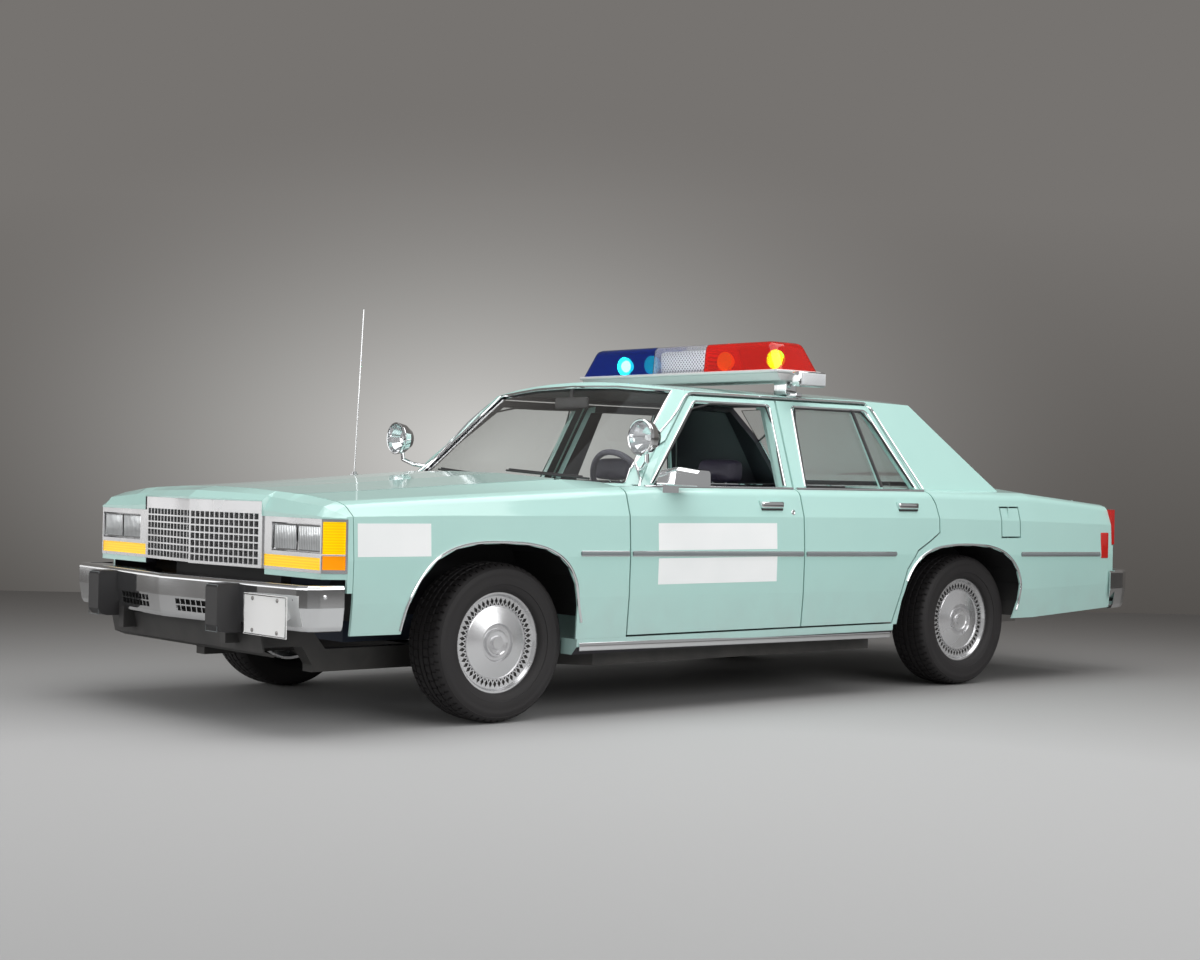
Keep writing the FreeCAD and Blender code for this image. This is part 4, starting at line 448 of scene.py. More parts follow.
# the floor's colour holds a painted pool of light near the car that fades to painted shade further
# off
floor_lit = linear(172, 172, 172)
floor_far_shade = linear(96, 93, 90)
floor_material, floor_tree, floor_shader = new_material("studio_floor", floor_lit, 0.75)
floor_light_pool = glow_mask(floor_tree, (1.6, 3.4, 0), (11.5, 11.5, 4.0))
floor_tone = remap(floor_tree, floor_light_pool, 0.0, 0.55, 0.0, 1.0)
floor_tree.links.new(mix_colours(floor_tree, floor_tone, floor_far_shade, floor_lit),
                     floor_shader.inputs["Base Color"])
floor.data.materials.append(floor_material)
print("backdrop at", [round(v, 2) for v in backdrop_foot])

# %% [markdown]
# Four large softboxes light the car: one overhead, one at its shown side and two from ahead.
# Their long shapes draw the soft bands along the sides, and the world fills the shadows.

# %% Lights


def softbox(name, place, target, width, height, power):
    data = bpy.data.lights.new(name, "AREA")
    data.shape = "RECTANGLE"
    data.size, data.size_y = width, height
    data.energy = power
    lamp = bpy.data.objects.new(name, data)
    scene.collection.objects.link(lamp)
    lamp.location = place
    aim = Vector(target) - Vector(place)
    lamp.rotation_euler = aim.to_track_quat("-Z", "Y").to_euler()


CAR_MIDDLE = (-1.6, 0, 0.6)
softbox("overhead_softbox", (-1.2, 1.2, 5.6), CAR_MIDDLE, 9.0, 6.0, 385)
softbox("side_softbox", (-1.5, 8.0, 3.4), CAR_MIDDLE, 9.0, 3.2, 245)
softbox("front_softbox", (7.5, -1.0, 2.6), CAR_MIDDLE, 5.0, 3.0, 150)
softbox("far_front_softbox", (7.0, -9.0, 2.0), (0.5, 0, 0.6), 9.0, 4.0, 110)
world = bpy.data.worlds.new("studio_air")
scene.world = world
world.use_nodes = True
world.node_tree.nodes["Background"].inputs["Color"].default_value = (0.5, 0.5, 0.5, 1)
world.node_tree.nodes["Background"].inputs["Strength"].default_value = 0.7

# %% [markdown]
# ## Helpers for new pieces
# Trim on a car lies on sheet metal that curves two ways. Its place is found by sending a ray
# from outside at the CAD node and keeping where it lands, so that a strip, a sign or a lip
# follows the panel it sits on. Each piece is then named, given its finish and its body.

# %% Piece helpers
HANDS = ((1, "left"), (-1, "right"))
OUTSIDE_Y = 1.4                 # rays to the left side start here
MERGE = 0.00002                 # points nearer than this are one
CORE = 0.0001                   # radius that closes a turned piece at its axis


def skin_of(*names):
    """Search tree over the triangles of some CAD nodes."""
    corners, faces = [], []
    for name in names:
        mesh = cad[name].data
        first = len(corners)
        corners += [v.co.copy() for v in mesh.vertices]
        faces += [[i + first for i in p.vertices] for p in mesh.polygons]
    return BVHTree.FromPolygons(corners, faces)


def beside(skin, x, z, lift=0.0):
    """Place on the car's left side at (x, z), lifted outward."""
    hit = skin.ray_cast(Vector((x, OUTSIDE_Y, z)), Vector((0, -1, 0)))
    if hit[0] is None:
        hit = skin.find_nearest(Vector((x, 0.9, z)))
    return hit[0] + hit[1] * lift


def trace(skin, path, lift, step=0.07):
    """Places along a path of (x, z) corners drawn on the left side."""
    points = []
    for (x0, z0), (x1, z1) in zip(path, path[1:]):
        count = max(1, round(math.hypot(x1 - x0, z1 - z0) / step))
        for i in range(count):
            x, z = x0 + (x1 - x0) * i / count, z0 + (z1 - z0) * i / count
            points.append(beside(skin, x, z, lift))
    points.append(beside(skin, path[-1][0], path[-1][1], lift))
    return points


def rounded_path(path, radius, steps=4):
    """Same path with its inner corners rounded."""
    out = [path[0]]
    for a, b, c in zip(path, path[1:], path[2:]):
        b = Vector(b)
        start = b + (Vector(a) - b).normalized() * radius
        end = b + (Vector(c) - b).normalized() * radius
        for i in range(steps + 1):
            t = i / steps
            out.append(tuple(start * (1 - t) ** 2 + b * 2 * t * (1 - t) + end * t * t))
    out.append(path[-1])
    return out


def use(obj):
    deselect()
    obj.select_set(True)
    bpy.context.view_layer.objects.active = obj


def apply_modifier(obj, kind, **settings):
    modifier = obj.modifiers.new(kind.lower(), kind)
    for setting, value in settings.items():
        setattr(modifier, setting, value)
    use(obj)
    bpy.ops.object.modifier_apply(modifier=modifier.name)


def turn_normals_outward():
    """Make the active mesh's faces look outward."""
    bpy.ops.object.mode_set(mode="EDIT")
    bpy.ops.mesh.select_all(action="SELECT")
    bpy.ops.mesh.normals_make_consistent(inside=False)
    bpy.ops.object.mode_set(mode="OBJECT")


def spin_section(name, rows, closed, steps, centre, axis):
    """New mesh made by spinning a chain of points about an axis."""
    edges = [(i, i + 1) for i in range(len(rows) - 1)]
    if closed:
        edges.append((len(rows) - 1, 0))
    mesh = bpy.data.meshes.new(name)
    mesh.from_pydata(rows, edges, [])
    obj = bpy.data.objects.new(name, mesh)
    scene.collection.objects.link(obj)
    use(obj)
    bpy.ops.object.mode_set(mode="EDIT")
    bpy.ops.mesh.select_all(action="SELECT")
    bpy.ops.mesh.spin(steps=steps, angle=math.tau, center=centre, axis=axis)
    bpy.ops.mesh.select_all(action="SELECT")
    bpy.ops.mesh.remove_doubles(threshold=MERGE)
    bpy.ops.mesh.normals_make_consistent(inside=False)
    bpy.ops.object.mode_set(mode="OBJECT")
    return obj


def dress(obj, name, finish, body="body", replaces=(), smooth=35):
    """Name a finished piece, apply its place, give it its finish and its body."""
    obj.name = obj.data.name = name
    use(obj)
    bpy.ops.object.transform_apply(location=True, rotation=True, scale=True)
    obj.data.materials.clear()
    obj.data.materials.append(finish)
    if smooth:
        bpy.ops.object.shade_smooth_by_angle(angle=math.radians(smooth))
    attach(obj, body)
    if replaces:
        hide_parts(*replaces)
    return obj


def both(obj, body="body"):
    """Add a left piece's twin on the right; body is what the left one rides."""
    copy = obj.copy()
    copy.data = obj.data.copy()
    scene.collection.objects.link(copy)
    copy.data.transform(Matrix.Scale(-1, 4, Vector((0, 1, 0))))
    copy.data.flip_normals()
    for vertex in copy.data.vertices:
        vertex.co.y = max(vertex.co.y, cad_low[1] + 0.0004)
    copy.name = copy.data.name = obj.name.replace("_left", "_right")
    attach(copy, body.replace("_left", "_right"))


def strip(name, points, half_height, edge, finish, body="body", slot="chrome", closed=False):
    """Moulding strip along points: a curve with a flat, round-edged section, made a mesh."""
    curve = bpy.data.curves.new(name, "CURVE")
    curve.dimensions = "3D"
    curve.twist_mode = "Z_UP"
    curve.bevel_depth = edge
    curve.bevel_resolution = 2
    curve.extrude = half_height
    curve.use_fill_caps = True
    line = curve.splines.new("POLY")
    line.points.add(len(points) - 1)
    for knot, place in zip(line.points, points):
        knot.co = (*place, 1)
    line.use_cyclic_u = closed
    obj = bpy.data.objects.new(name, curve)
    scene.collection.objects.link(obj)
    use(obj)
    bpy.ops.object.convert(target="MESH")
    obj = bpy.context.object
    obj["slot_name"] = slot
    return dress(obj, name, finish, body)


def block(name, low, high, bevel, finish, body="body", slot="chrome", shape=None):
    """Bevelled block between two corners; shape may move its corners first."""
    deselect()
    low, high = Vector(low), Vector(high)
    bpy.ops.mesh.primitive_cube_add(size=1, location=(low + high) / 2)
    obj = bpy.context.object
    obj.scale = high - low
    bpy.ops.object.transform_apply(location=True, rotation=True, scale=True)
    if shape:
        shape(obj)
    apply_modifier(obj, "BEVEL", width=bevel, segments=3, limit_method="ANGLE")
    obj["slot_name"] = slot
    return dress(obj, name, finish, body)


def drum(name, centre, axis, profile, finish, body="body", slot="chrome", steps=32,
         closed=False):
    """Turned piece: rows of (distance along the axis, radius) spun about it."""
    axis = Vector(axis).normalized()
    side = axis.orthogonal().normalized()
    centre = Vector(centre)
    rows = [centre + axis * a + side * r for a, r in profile]
    obj = spin_section(name, rows, closed, steps, centre, axis)
    obj["slot_name"] = slot
    return dress(obj, name, finish, body)


left_side_skin = skin_of("body_side_left", "roof", "front_fender_left")
left_door_skin = skin_of("front_door_left")
rear_door_skin = skin_of("rear_door_left")
print("piece helpers ready")

# %% [markdown]
# ## Bright trim
# Bright steel strips cover every joint that a hand touches or rain runs along: the drip rail
# above the doors, the window frames, the belt line, the screens, the wheel-arch lips and the
# sill. Each is a curve with a small section, made a mesh, traced on the panel below.

# %% Drip rails, window frames and belt strips
DRIP_PATH = rounded_path([(-0.722, 0.972), (-1.168, 1.385), (-2.380, 1.385), (-2.577, 0.972)],
                         0.05)
both(strip("drip_rail_left", trace(left_side_skin, DRIP_PATH, 0.003), 0.0, 0.006, chrome))
WINDOW_PATHS = [
    # door, skin, path round its window, path along its belt
    ("front", left_door_skin,
     [(-0.786, 0.974), (-1.197, 1.349), (-1.676, 1.349), (-1.608, 0.974)],
     [(-0.742, 0.962), (-1.646, 0.962)]),
    ("rear", rear_door_skin,
     [(-1.738, 0.974), (-1.824, 1.349), (-2.338, 1.349), (-2.524, 0.974)],
     [(-1.668, 0.962), (-2.556, 0.962)]),
]
for end, skin, window, belt in WINDOW_PATHS:
    door = f"{end}_door_left"
    both(strip(f"{end}_window_trim_left", trace(skin, rounded_path(window, 0.022), 0.001),
               0.0, 0.0055, chrome, door), door)
    both(strip(f"{end}_belt_strip_left", trace(skin, belt, 0.001), 0.003, 0.0045, chrome, door),
         door)
print("rails and frames traced")

# %% [markdown]
# The screens' outlines are drawn flat, as seen from ahead or behind, and rays along the car
# drop them on the raked opening.

# %% Screen surrounds
front_skin = skin_of("body_side_left", "body_side_right", "roof", "cowl")
back_skin = skin_of("body_side_left", "body_side_right", "roof", "rear_deck")


def screen_trim(name, outline, start_x, direction, skin):
    """Strip round a screen, its outline given as (y, z) seen from ahead or behind."""
    places = []
    for (y0, z0), (y1, z1) in zip(outline, outline[1:] + outline[:1]):
        count = max(1, round(math.hypot(y1 - y0, z1 - z0) / 0.06))
        for i in range(count):
            y, z = y0 + (y1 - y0) * i / count, z0 + (z1 - z0) * i / count
            hit = skin.ray_cast(Vector((start_x, y, z)), Vector((direction, 0, 0)))
            if hit[0] is not None:
                places.append(hit[0] + hit[1] * 0.001)
    strip(name, places, 0.0, 0.007, chrome, closed=True)


screen_trim("windshield_trim",
            [(-0.779, 0.978), (0.779, 0.978), (0.627, 1.391), (0.3, 1.416), (0, 1.422),
             (-0.3, 1.416), (-0.627, 1.391)], 0.0, -1, front_skin)
screen_trim("rear_window_trim",
            [(-0.674, 1.001), (0.674, 1.001), (0.550, 1.388), (0, 1.402), (-0.550, 1.388)],
            -4.6, 1, back_skin)
print("screens trimmed")

# %% [markdown]
# A wheel arch is no circle. Its lip follows a few measured places, given as an angle about
# the wheel and a distance beyond the tread, with a smooth curve drawn through them.

# %% Wheel-arch lips
TYRE_R = 0.324
WHEELBASE = 2.903
LIP_OUT = 0.006                 # from the panel's cut edge to the middle of the lip
FRONT_ARCH = [
    # angle in degrees, distance beyond the tread in millimetres
    (5.4, 213), (18.2, 208), (30.6, 199), (41.9, 187), (52.9, 157), (65.9, 117), (81.6, 84),
    (98.6, 77), (111.6, 84), (122.3, 88), (132.4, 84), (142.7, 66), (155.9, 34), (170, 31)]
REAR_ARCH = [
    (11.5, 256), (21.2, 246), (31.2, 229), (40.7, 194), (51.2, 143), (66.5, 84), (84.9, 50),
    (103.4, 50), (119.0, 62), (131.7, 70), (142.3, 70), (152.4, 56), (163.7, 19), (172, -8)]


def arch_path(wheel_x, table):
    """Smooth curve through an arch table, moved outward by the lip."""
    knots = []
    for angle, beyond in table:
        reach = TYRE_R + beyond / 1000 + LIP_OUT
        knots.append(Vector((wheel_x + reach * math.cos(math.radians(angle)),
                             TYRE_R + reach * math.sin(math.radians(angle)))))
    path = []
    for i in range(len(knots) - 1):
        before, after = knots[max(i - 1, 0)], knots[min(i + 2, len(knots) - 1)]
        for k in range(4):
            t = k / 4
            path.append(0.5 * (2 * knots[i] + (knots[i + 1] - before) * t
                               + (2 * before - 5 * knots[i] + 4 * knots[i + 1] - after) * t * t
                               + (after - 3 * knots[i + 1] + 3 * knots[i] - before) * t ** 3))
    return path + [knots[-1]]


def lip_places(path, skin, low):
    """Where an arch path above a height meets the outer skin."""
    places = []
    for x, z in path:
        hit = skin.ray_cast(Vector((x, OUTSIDE_Y, z)), Vector((0, -1, 0)))
        if z > low and hit[0] is not None and hit[0].y > 0.85:
            places.append(hit[0])
    return places


fender_skin = skin_of("front_fender_left")
quarter_skin = skin_of("body_side_left")
rear_arch = [p for p in arch_path(-WHEELBASE, REAR_ARCH) if p.x < -2.36]
LIPS = [
    # name, path, skin, lowest place
    ("front_arch_lip_left", arch_path(0, FRONT_ARCH), fender_skin, 0.392),
    ("rear_arch_lip_left", rear_arch, quarter_skin, 0.335),
]
for name, path, skin, low in LIPS:
    both(strip(name, lip_places(path, skin, low), 0.0, 0.0065, chrome))
print("arch lips", len(LIPS) * 2)

# %% [markdown]
# A bright sill strip and a moulding with a grey insert run along the side. The moulding is
# cut at each door gap, so every length rides on its own panel.

# %% Sill strip and side moulding
sill_places = [beside(left_side_skin, x, 0.304 - 0.0095 * (-x), 0.002)
               for x in (-0.345, -0.8, -1.3, -1.8, -2.28)]
both(strip("sill_strip_left", sill_places, 0.012, 0.006, chrome))
MOULDING_Z = 0.688
MOULDING_RISE = 0.0112          # the strip climbs forward by this much per metre
MOULDINGS = [
    # name, body, skin, x ahead, x behind
    ("fender", "body", fender_skin, -0.335, -0.596),
    ("front_door", "front_door_left", left_door_skin, -0.615, -1.644),
    ("rear_door", "rear_door_left", rear_door_skin, -1.665, -2.425),
    ("quarter", "body", quarter_skin, -3.24, -3.93),
]
for name, body, skin, ahead, behind in MOULDINGS:
    count = max(2, round((ahead - behind) / 0.15))
    xs = [ahead + (behind - ahead) * i / count for i in range(count + 1)]
    for part, lift, half_height, edge, finish, slot in (
            ("moulding", 0.001, 0.009, 0.003, chrome, "chrome"),
            ("moulding_insert", 0.0035, 0.0045, 0.0035, grey_trim, "grey_trim")):
        places = [beside(skin, x, MOULDING_Z + MOULDING_RISE * x, lift) for x in xs]
        both(strip(f"{name}_{part}_left", places, half_height, edge, finish, body, slot), body)
print("mouldings laid")

# %% [markdown]
# ## Blank signs
# The doors and fenders carry removable vinyl signs, left blank. Each is a grid laid on the
# panel by rays, so it bends with the steel, and it is given a thin thickness.

# %% Signs
sign_white = make_plastic("sign_white", linear(236, 240, 240), 0.3, 90.0, 0.02)


def sign(name, skin, x0, x1, z0, z1, body):
    deselect()
    bpy.ops.mesh.primitive_grid_add(x_subdivisions=16, y_subdivisions=8, size=1)
    obj = bpy.context.object
    for vertex in obj.data.vertices:
        x = x0 + (x1 - x0) * (vertex.co.x + 0.5)
        z = z0 + (z1 - z0) * (vertex.co.y + 0.5)
        vertex.co = beside(skin, x, z, 0.0006)
    apply_modifier(obj, "SOLIDIFY", thickness=0.001, offset=1)
    turn_normals_outward()
    obj["slot_name"] = "plate_white"
    both(dress(obj, f"{name}_left", sign_white, body), body)


sign("door_sign_upper", left_door_skin, -1.478, -0.763, 0.694, 0.809, "front_door_left")
sign("door_sign_lower", left_door_skin, -1.478, -0.763, 0.549, 0.660, "front_door_left")
sign("fender_sign", fender_skin, 0.409, 0.735, 0.681, 0.807, "body")
print("signs laid")

# %% [markdown]
# ## Tyres
# A radial tyre is a turned shape with a cut tread. Its half section is spun about the axle in
# short steps, and then every fourth face of each tread rib is inset and pushed in to make the
# slits between the tread blocks. One tyre is modelled and copied to the four wheels.

# %% Tyre
TRACK = 0.790
TYRE_STEPS = 240
TYRE_SECTION = [
    # across from the centre plane, radius
    (0.078, 0.2035), (0.088, 0.206), (0.096, 0.214), (0.100, 0.220), (0.1045, 0.236),
    (0.1075, 0.2375), (0.1090, 0.250), (0.1095, 0.262), (0.1085, 0.276), (0.1092, 0.278),
    (0.1078, 0.288), (0.1050, 0.2985), (0.1060, 0.300), (0.0990, 0.3095), (0.0900, 0.3160),
    (0.0800, 0.3192), (0.0560, 0.3222), (0.0545, 0.3150), (0.0475, 0.3150), (0.0460, 0.3230),
    (0.0200, 0.3238), (0.0185, 0.3160), (0.0115, 0.3160), (0.0100, 0.3239)]
RIM_EDGES = [(-0.072, 0.209), (0.072, 0.209)]
TREAD_ROWS = [
    # across from and to, least radius
    (0.082, 0.099, 0.3045), (0.055, 0.081, 0.3165), (0.019, 0.047, 0.3165),
    (0.0, 0.011, 0.3165)]


def model_tyre():
    ring = TYRE_SECTION + [(-a, r) for a, r in reversed(TYRE_SECTION)] + RIM_EDGES
    obj = spin_section("tyre", [Vector((0, a, r)) for a, r in ring], True, TYRE_STEPS,
                       (0, 0, 0), (0, 1, 0))
    bpy.ops.object.mode_set(mode="EDIT")
    bpy.ops.mesh.select_all(action="DESELECT")
    bpy.ops.object.mode_set(mode="OBJECT")
    step = math.tau / TYRE_STEPS
    for face in obj.data.polygons:
        middle = face.center
        turn = int((math.atan2(middle.z, middle.x) + math.tau) / step + 0.001)
        for row, (low, high, least_radius) in enumerate(TREAD_ROWS):
            on_rib = low < abs(middle.y) < high and math.hypot(middle.x, middle.z) > least_radius
            if on_rib and (turn + row + (middle.y < 0)) % 4 == 0:
                face.select = True
    bpy.ops.object.mode_set(mode="EDIT")
    bpy.ops.mesh.inset(thickness=0.0007)
    bpy.ops.transform.shrink_fatten(value=-0.0045)
    bpy.ops.object.mode_set(mode="OBJECT")
    return obj


tyre = model_tyre()
WHEELS = [("front_left", 0.0, 1), ("front_right", 0.0, -1), ("rear_left", -WHEELBASE, 1),
          ("rear_right", -WHEELBASE, -1)]
for place, wheel_x, hand in WHEELS:
    copy = tyre.copy()
    copy.data = tyre.data.copy()
    scene.collection.objects.link(copy)
    copy.location = (wheel_x, hand * TRACK, TYRE_R)
    end, side_name = place.split("_")
    dress(copy, f"tyre_with_tread_{place}", tyre_rubber, f"{end}_wheel_{side_name}",
          (f"tyre_{place}",))
print("tyre faces", len(tyre.data.polygons))
bpy.data.objects.remove(tyre)

# %% [markdown]
# The wheel covers have a lattice of small openings. A black ring behind it is painted shade: it
# stands for the shade inside the wheel, keeps the bright wheel from showing through, and rolls with
# the wheel.

# %% Painted shade rings behind the wheel covers' lattice
for place, wheel_x, hand in WHEELS:
    end, side_name = place.split("_")
    # black ring as painted shade behind each cover's lattice
    drum(f"cover_backing_{place}", (wheel_x, hand * (TRACK + 0.058), TYRE_R), (0, hand, 0),
         [(-0.0008, 0.130), (-0.0008, 0.184), (0.0008, 0.184), (0.0008, 0.130)], chassis_black,
         f"{end}_wheel_{side_name}", "frame_black", steps=96, closed=True)
print("cover backings made")

# %% [markdown]
# ## Light bar
# Coloured domes stand on a bright extruded base. Each dome is a thin moulded shell: a box
# whose top is drawn in, with its edges bevelled round and then hollowed. Behind it sit round
# reflectors on posts, one of each pair lit.

# %% Light bar base
BAR_X = -1.870
BAR_END = 0.722


def taper_bottom(obj):
    low = min(v.co.z for v in obj.data.vertices)
    for vertex in obj.data.vertices:
        if vertex.co.z < low + 0.001:
            vertex.co.x = BAR_X + (vertex.co.x - BAR_X) * 0.84


def sorted_span(hand, inner, outer):
    """Low and high Y of a piece between two distances on one side."""
    return sorted((hand * inner, hand * outer))


bar_silver = make_metal("bar_silver", (0.62, 0.62, 0.62, 1), 0.35, 0.05, metallic=0.25)
block("bar_tray", (BAR_X - 0.150, -BAR_END, 1.505), (BAR_X + 0.150, BAR_END, 1.521), 0.006,
      bar_silver, slot="bar_aluminium")
bar_body = block("bar_channel", (BAR_X - 0.140, -BAR_END + 0.01, 1.470),
                 (BAR_X + 0.140, BAR_END - 0.01, 1.506), 0.004, bar_silver, slot="bar_aluminium",
                 shape=taper_bottom)
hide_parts("light_bar_base")
for hand, side_name in HANDS:
    low_y, high_y = sorted_span(hand, 0.585, 0.672)
    block(f"bar_foot_{side_name}", (BAR_X - 0.035, low_y, 1.405), (BAR_X + 0.035, high_y, 1.474),
          0.006, chrome)
    low_y, high_y = sorted_span(hand, 0.655, 0.7205)
    block(f"bar_strap_{side_name}", (BAR_X - 0.020, low_y, 1.391),
          (BAR_X + 0.020, high_y, 1.416), 0.003, chrome)
print("bar base made")

# %% [markdown]
# The domes are moulded in clear and coloured plastic, three in a row on the tray.

# %% Domes
DOME_LOW = 1.5205
DOME_HIGH = 1.659


def dome_shell(colour, y_in, y_out, top_in, top_out, finish, replaced):
    """Hollow dome whose foot runs from y_in to y_out and whose top from top_in to top_out."""
    deselect()
    bpy.ops.mesh.primitive_cube_add(size=1, location=(0, 0, 0))
    obj = bpy.context.object
    for vertex in obj.data.vertices:
        top = vertex.co.z > 0
        outer = vertex.co.y > 0
        half = 0.108 if top else 0.140
        y = (top_out if top else y_out) if outer else (top_in if top else y_in)
        vertex.co = (BAR_X + math.copysign(half, vertex.co.x), y, DOME_HIGH if top else DOME_LOW)
    rounded = abs(y_out) > 0.6
    use(obj)
    bpy.ops.object.mode_set(mode="EDIT")
    bpy.ops.mesh.select_mode(type="EDGE")
    bpy.ops.mesh.select_all(action="DESELECT")
    bpy.ops.object.mode_set(mode="OBJECT")
    for edge in obj.data.edges:
        a, b = (obj.data.vertices[i].co for i in edge.vertices)
        middle = (a + b) / 2
        on_top = abs(a.z - DOME_HIGH) < 1e-4 and abs(b.z - DOME_HIGH) < 1e-4
        lengthwise = abs(a.y - b.y) > 0.2
        at_end = rounded and abs(middle.y) > 0.6 and middle.z > DOME_LOW + 0.01
        edge.select = (on_top and lengthwise) or at_end
    bpy.ops.object.mode_set(mode="EDIT")
    bpy.ops.mesh.bevel(offset=0.034, segments=6, profile=0.55)
    bpy.ops.mesh.select_all(action="SELECT")
    bpy.ops.mesh.normals_make_consistent(inside=False)
    bpy.ops.object.mode_set(mode="OBJECT")
    apply_modifier(obj, "SOLIDIFY", thickness=0.0035, offset=-1)
    dress(obj, f"dome_shell_{colour}", finish, replaces=(replaced,),
          smooth=40)


dome_shell("blue", -0.159, -BAR_END + 0.006, -0.178, -0.640, blue_dome, "light_dome_right")
dome_shell("clear", -0.158, 0.212, -0.177, 0.194, clear_dome, "light_dome_centre")
dome_shell("red", 0.213, BAR_END - 0.006, 0.195, 0.640, red_dome, "light_dome_left")
print("domes made")

# %% [markdown]
# A beacon is a bowl, a post and, where it is lit, a lamp: three turned pieces.
# The screen in the middle is a block with a pattern of crossed wires.

# %% Beacons and mesh screen


def make_glow(name, colour, strength):
    """Glow of a lit lamp, and painted glow on a reflector bowl that is no lamp: it ripples between
    a dim and a bright tone with fine noise.
    """
    material, tree, shader = new_material(name, colour, 0.4)
    grain = use_group(tree, fine_grain, Size=180.0, Detail=1.0)
    bright = tuple(c * strength for c in colour[:3]) + (1.0,)
    dim = tuple(c * strength * 0.6 for c in colour[:3]) + (1.0,)
    tree.links.new(mix_colours(tree, grain.outputs["Height"], dim, bright),
                   shader.inputs["Emission Color"])
    shader.inputs["Emission Strength"].default_value = 1.0
    return material


cyan_glow = make_glow("cyan_glow", (0.75, 1.0, 0.7, 1), 34.0)
yellow_glow = make_glow("yellow_glow", (0.12, 1.0, 0.03, 1), 55.0)
# the bowls are reflectors, not lamps: their glow is painted light, stronger on the lit beacons and
# faint on the unlit ones
cyan_bowl_painted_glow = make_glow("cyan_bowl_painted_glow", (0.05, 1.0, 0.34, 1), 6.0)
orange_bowl_painted_glow = make_glow("orange_bowl_painted_glow", (0.16, 1.0, 0.02, 1), 4.5)
dim_cyan_bowl_painted_glow = make_glow("dim_cyan_bowl_painted_glow", (0.05, 1.0, 0.5, 1), 1.0)
dim_red_bowl_painted_glow = make_glow("dim_red_bowl_painted_glow", (0.5, 1.0, 0.02, 1), 0.8)
BEACONS = [
    # name, y, finish of the bowl, finish of the lamp or None where it is off
    ("blue_lit", -0.445, cyan_bowl_painted_glow, cyan_glow), ("blue_dim", -0.236, dim_cyan_bowl_painted_glow, None),
    ("red_dim", 0.297, dim_red_bowl_painted_glow, None), ("red_lit", 0.635, orange_bowl_painted_glow, yellow_glow),
]
for name, y, bowl_finish, glow_finish in BEACONS:
    centre = Vector((-1.815, y, 1.572))
    drum(f"beacon_bowl_{name}", centre, (1, 0.12, 0),
         [(0.030, 0.047), (0.030, 0.0455), (0.012, 0.040), (-0.010, 0.026), (-0.022, CORE),
          (-0.026, CORE), (-0.014, 0.028), (0.010, 0.0435), (0.026, 0.047)], bowl_finish,
         closed=True)
    drum(f"beacon_post_{name}", centre + Vector((-0.012, 0, -0.052)), (0, 0, 1),
         [(0.0, CORE), (0.0, 0.020), (0.006, 0.020), (0.010, 0.008), (0.028, 0.008),
          (0.028, CORE)], satin, slot="bar_aluminium")
    if glow_finish:
        drum(f"beacon_lamp_{name}", centre + Vector((0.012, 0, 0)), (1, 0.12, 0),
             [(-0.020, CORE), (-0.014, 0.020), (0.0, 0.030), (0.012, 0.024), (0.019, 0.012),
              (0.022, CORE)], glow_finish, slot="lamp_glass")


def make_mesh_screen():
    """Silver screen of fine diagonal wires with small dark openings."""
    material, tree, shader = new_material("mesh_screen", linear(205, 206, 210), 0.35, 0.6)
    heights = []
    for lean in (1, -1):
        mapping = tree.nodes.new("ShaderNodeMapping")
        mapping.inputs["Rotation"].default_value = (lean * math.radians(45), 0, 0)
        tree.links.new(object_coordinates(tree), mapping.inputs["Vector"])
        heights.append(waves(tree, mapping.outputs["Vector"], "Z", 22.0).outputs["Fac"])
    crossing = calculate(tree, "MULTIPLY", *heights)
    hole = remap(tree, crossing, 0.25, 0.40, 0.0, 1.0)
    tree.links.new(mix_colours(tree, hole, linear(226, 227, 230), linear(84, 86, 94)),
                   shader.inputs["Base Color"])
    add_bump(tree, shader, crossing, 0.4, 0.001)
    return material


block("bar_mesh_screen", (BAR_X - 0.098, -0.150, 1.522), (BAR_X + 0.104, 0.190, 1.632), 0.02,
      make_mesh_screen(), slot="bar_aluminium")
print("beacons", len(BEACONS))

# %% [markdown]
# A small lamp at the bar's left end lights the roadside: a chromed shell and ribbed glass.

# %% Alley lamp
ribbed_glass, ribbed_tree, ribbed_shader = new_material(
    "ribbed_lamp_glass", (0.86, 0.88, 0.90, 1), 0.12, 0.0, Transmission_Weight=0.35)
ribs = waves(ribbed_tree, object_coordinates(ribbed_tree), "DIAGONAL", 36.0)
add_bump(ribbed_tree, ribbed_shader, ribs.outputs["Fac"], 0.5, 0.002)
block("alley_lamp_shell", (-1.952, 0.756, 1.441), (-1.778, 0.815, 1.511), 0.010, chrome)
block("alley_lamp_glass", (-1.945, 0.8145, 1.448), (-1.785, 0.8215, 1.504), 0.003, ribbed_glass,
      slot="lamp_glass")
block("alley_lamp_bracket", (-1.890, 0.690, 1.456), (-1.840, 0.765, 1.4705), 0.002, chrome)
print("alley lamp made")

# %% [markdown]
# ## Seats
# The front bench and the rear bench are foam under pleated vinyl. Each pad starts as a
# rounded block a little smaller than the finished cushion. Cloth with inner pressure swells
# it, the swelling is capped, and the sewn pleats are pressed in afterwards as shallow waves.

# %% Pads
PAD_VOXEL = 0.010
CLOTH_FRAMES = 20
CLOTH_STIFFNESS = 12
PLEAT = 0.066                   # width of one sewn pleat


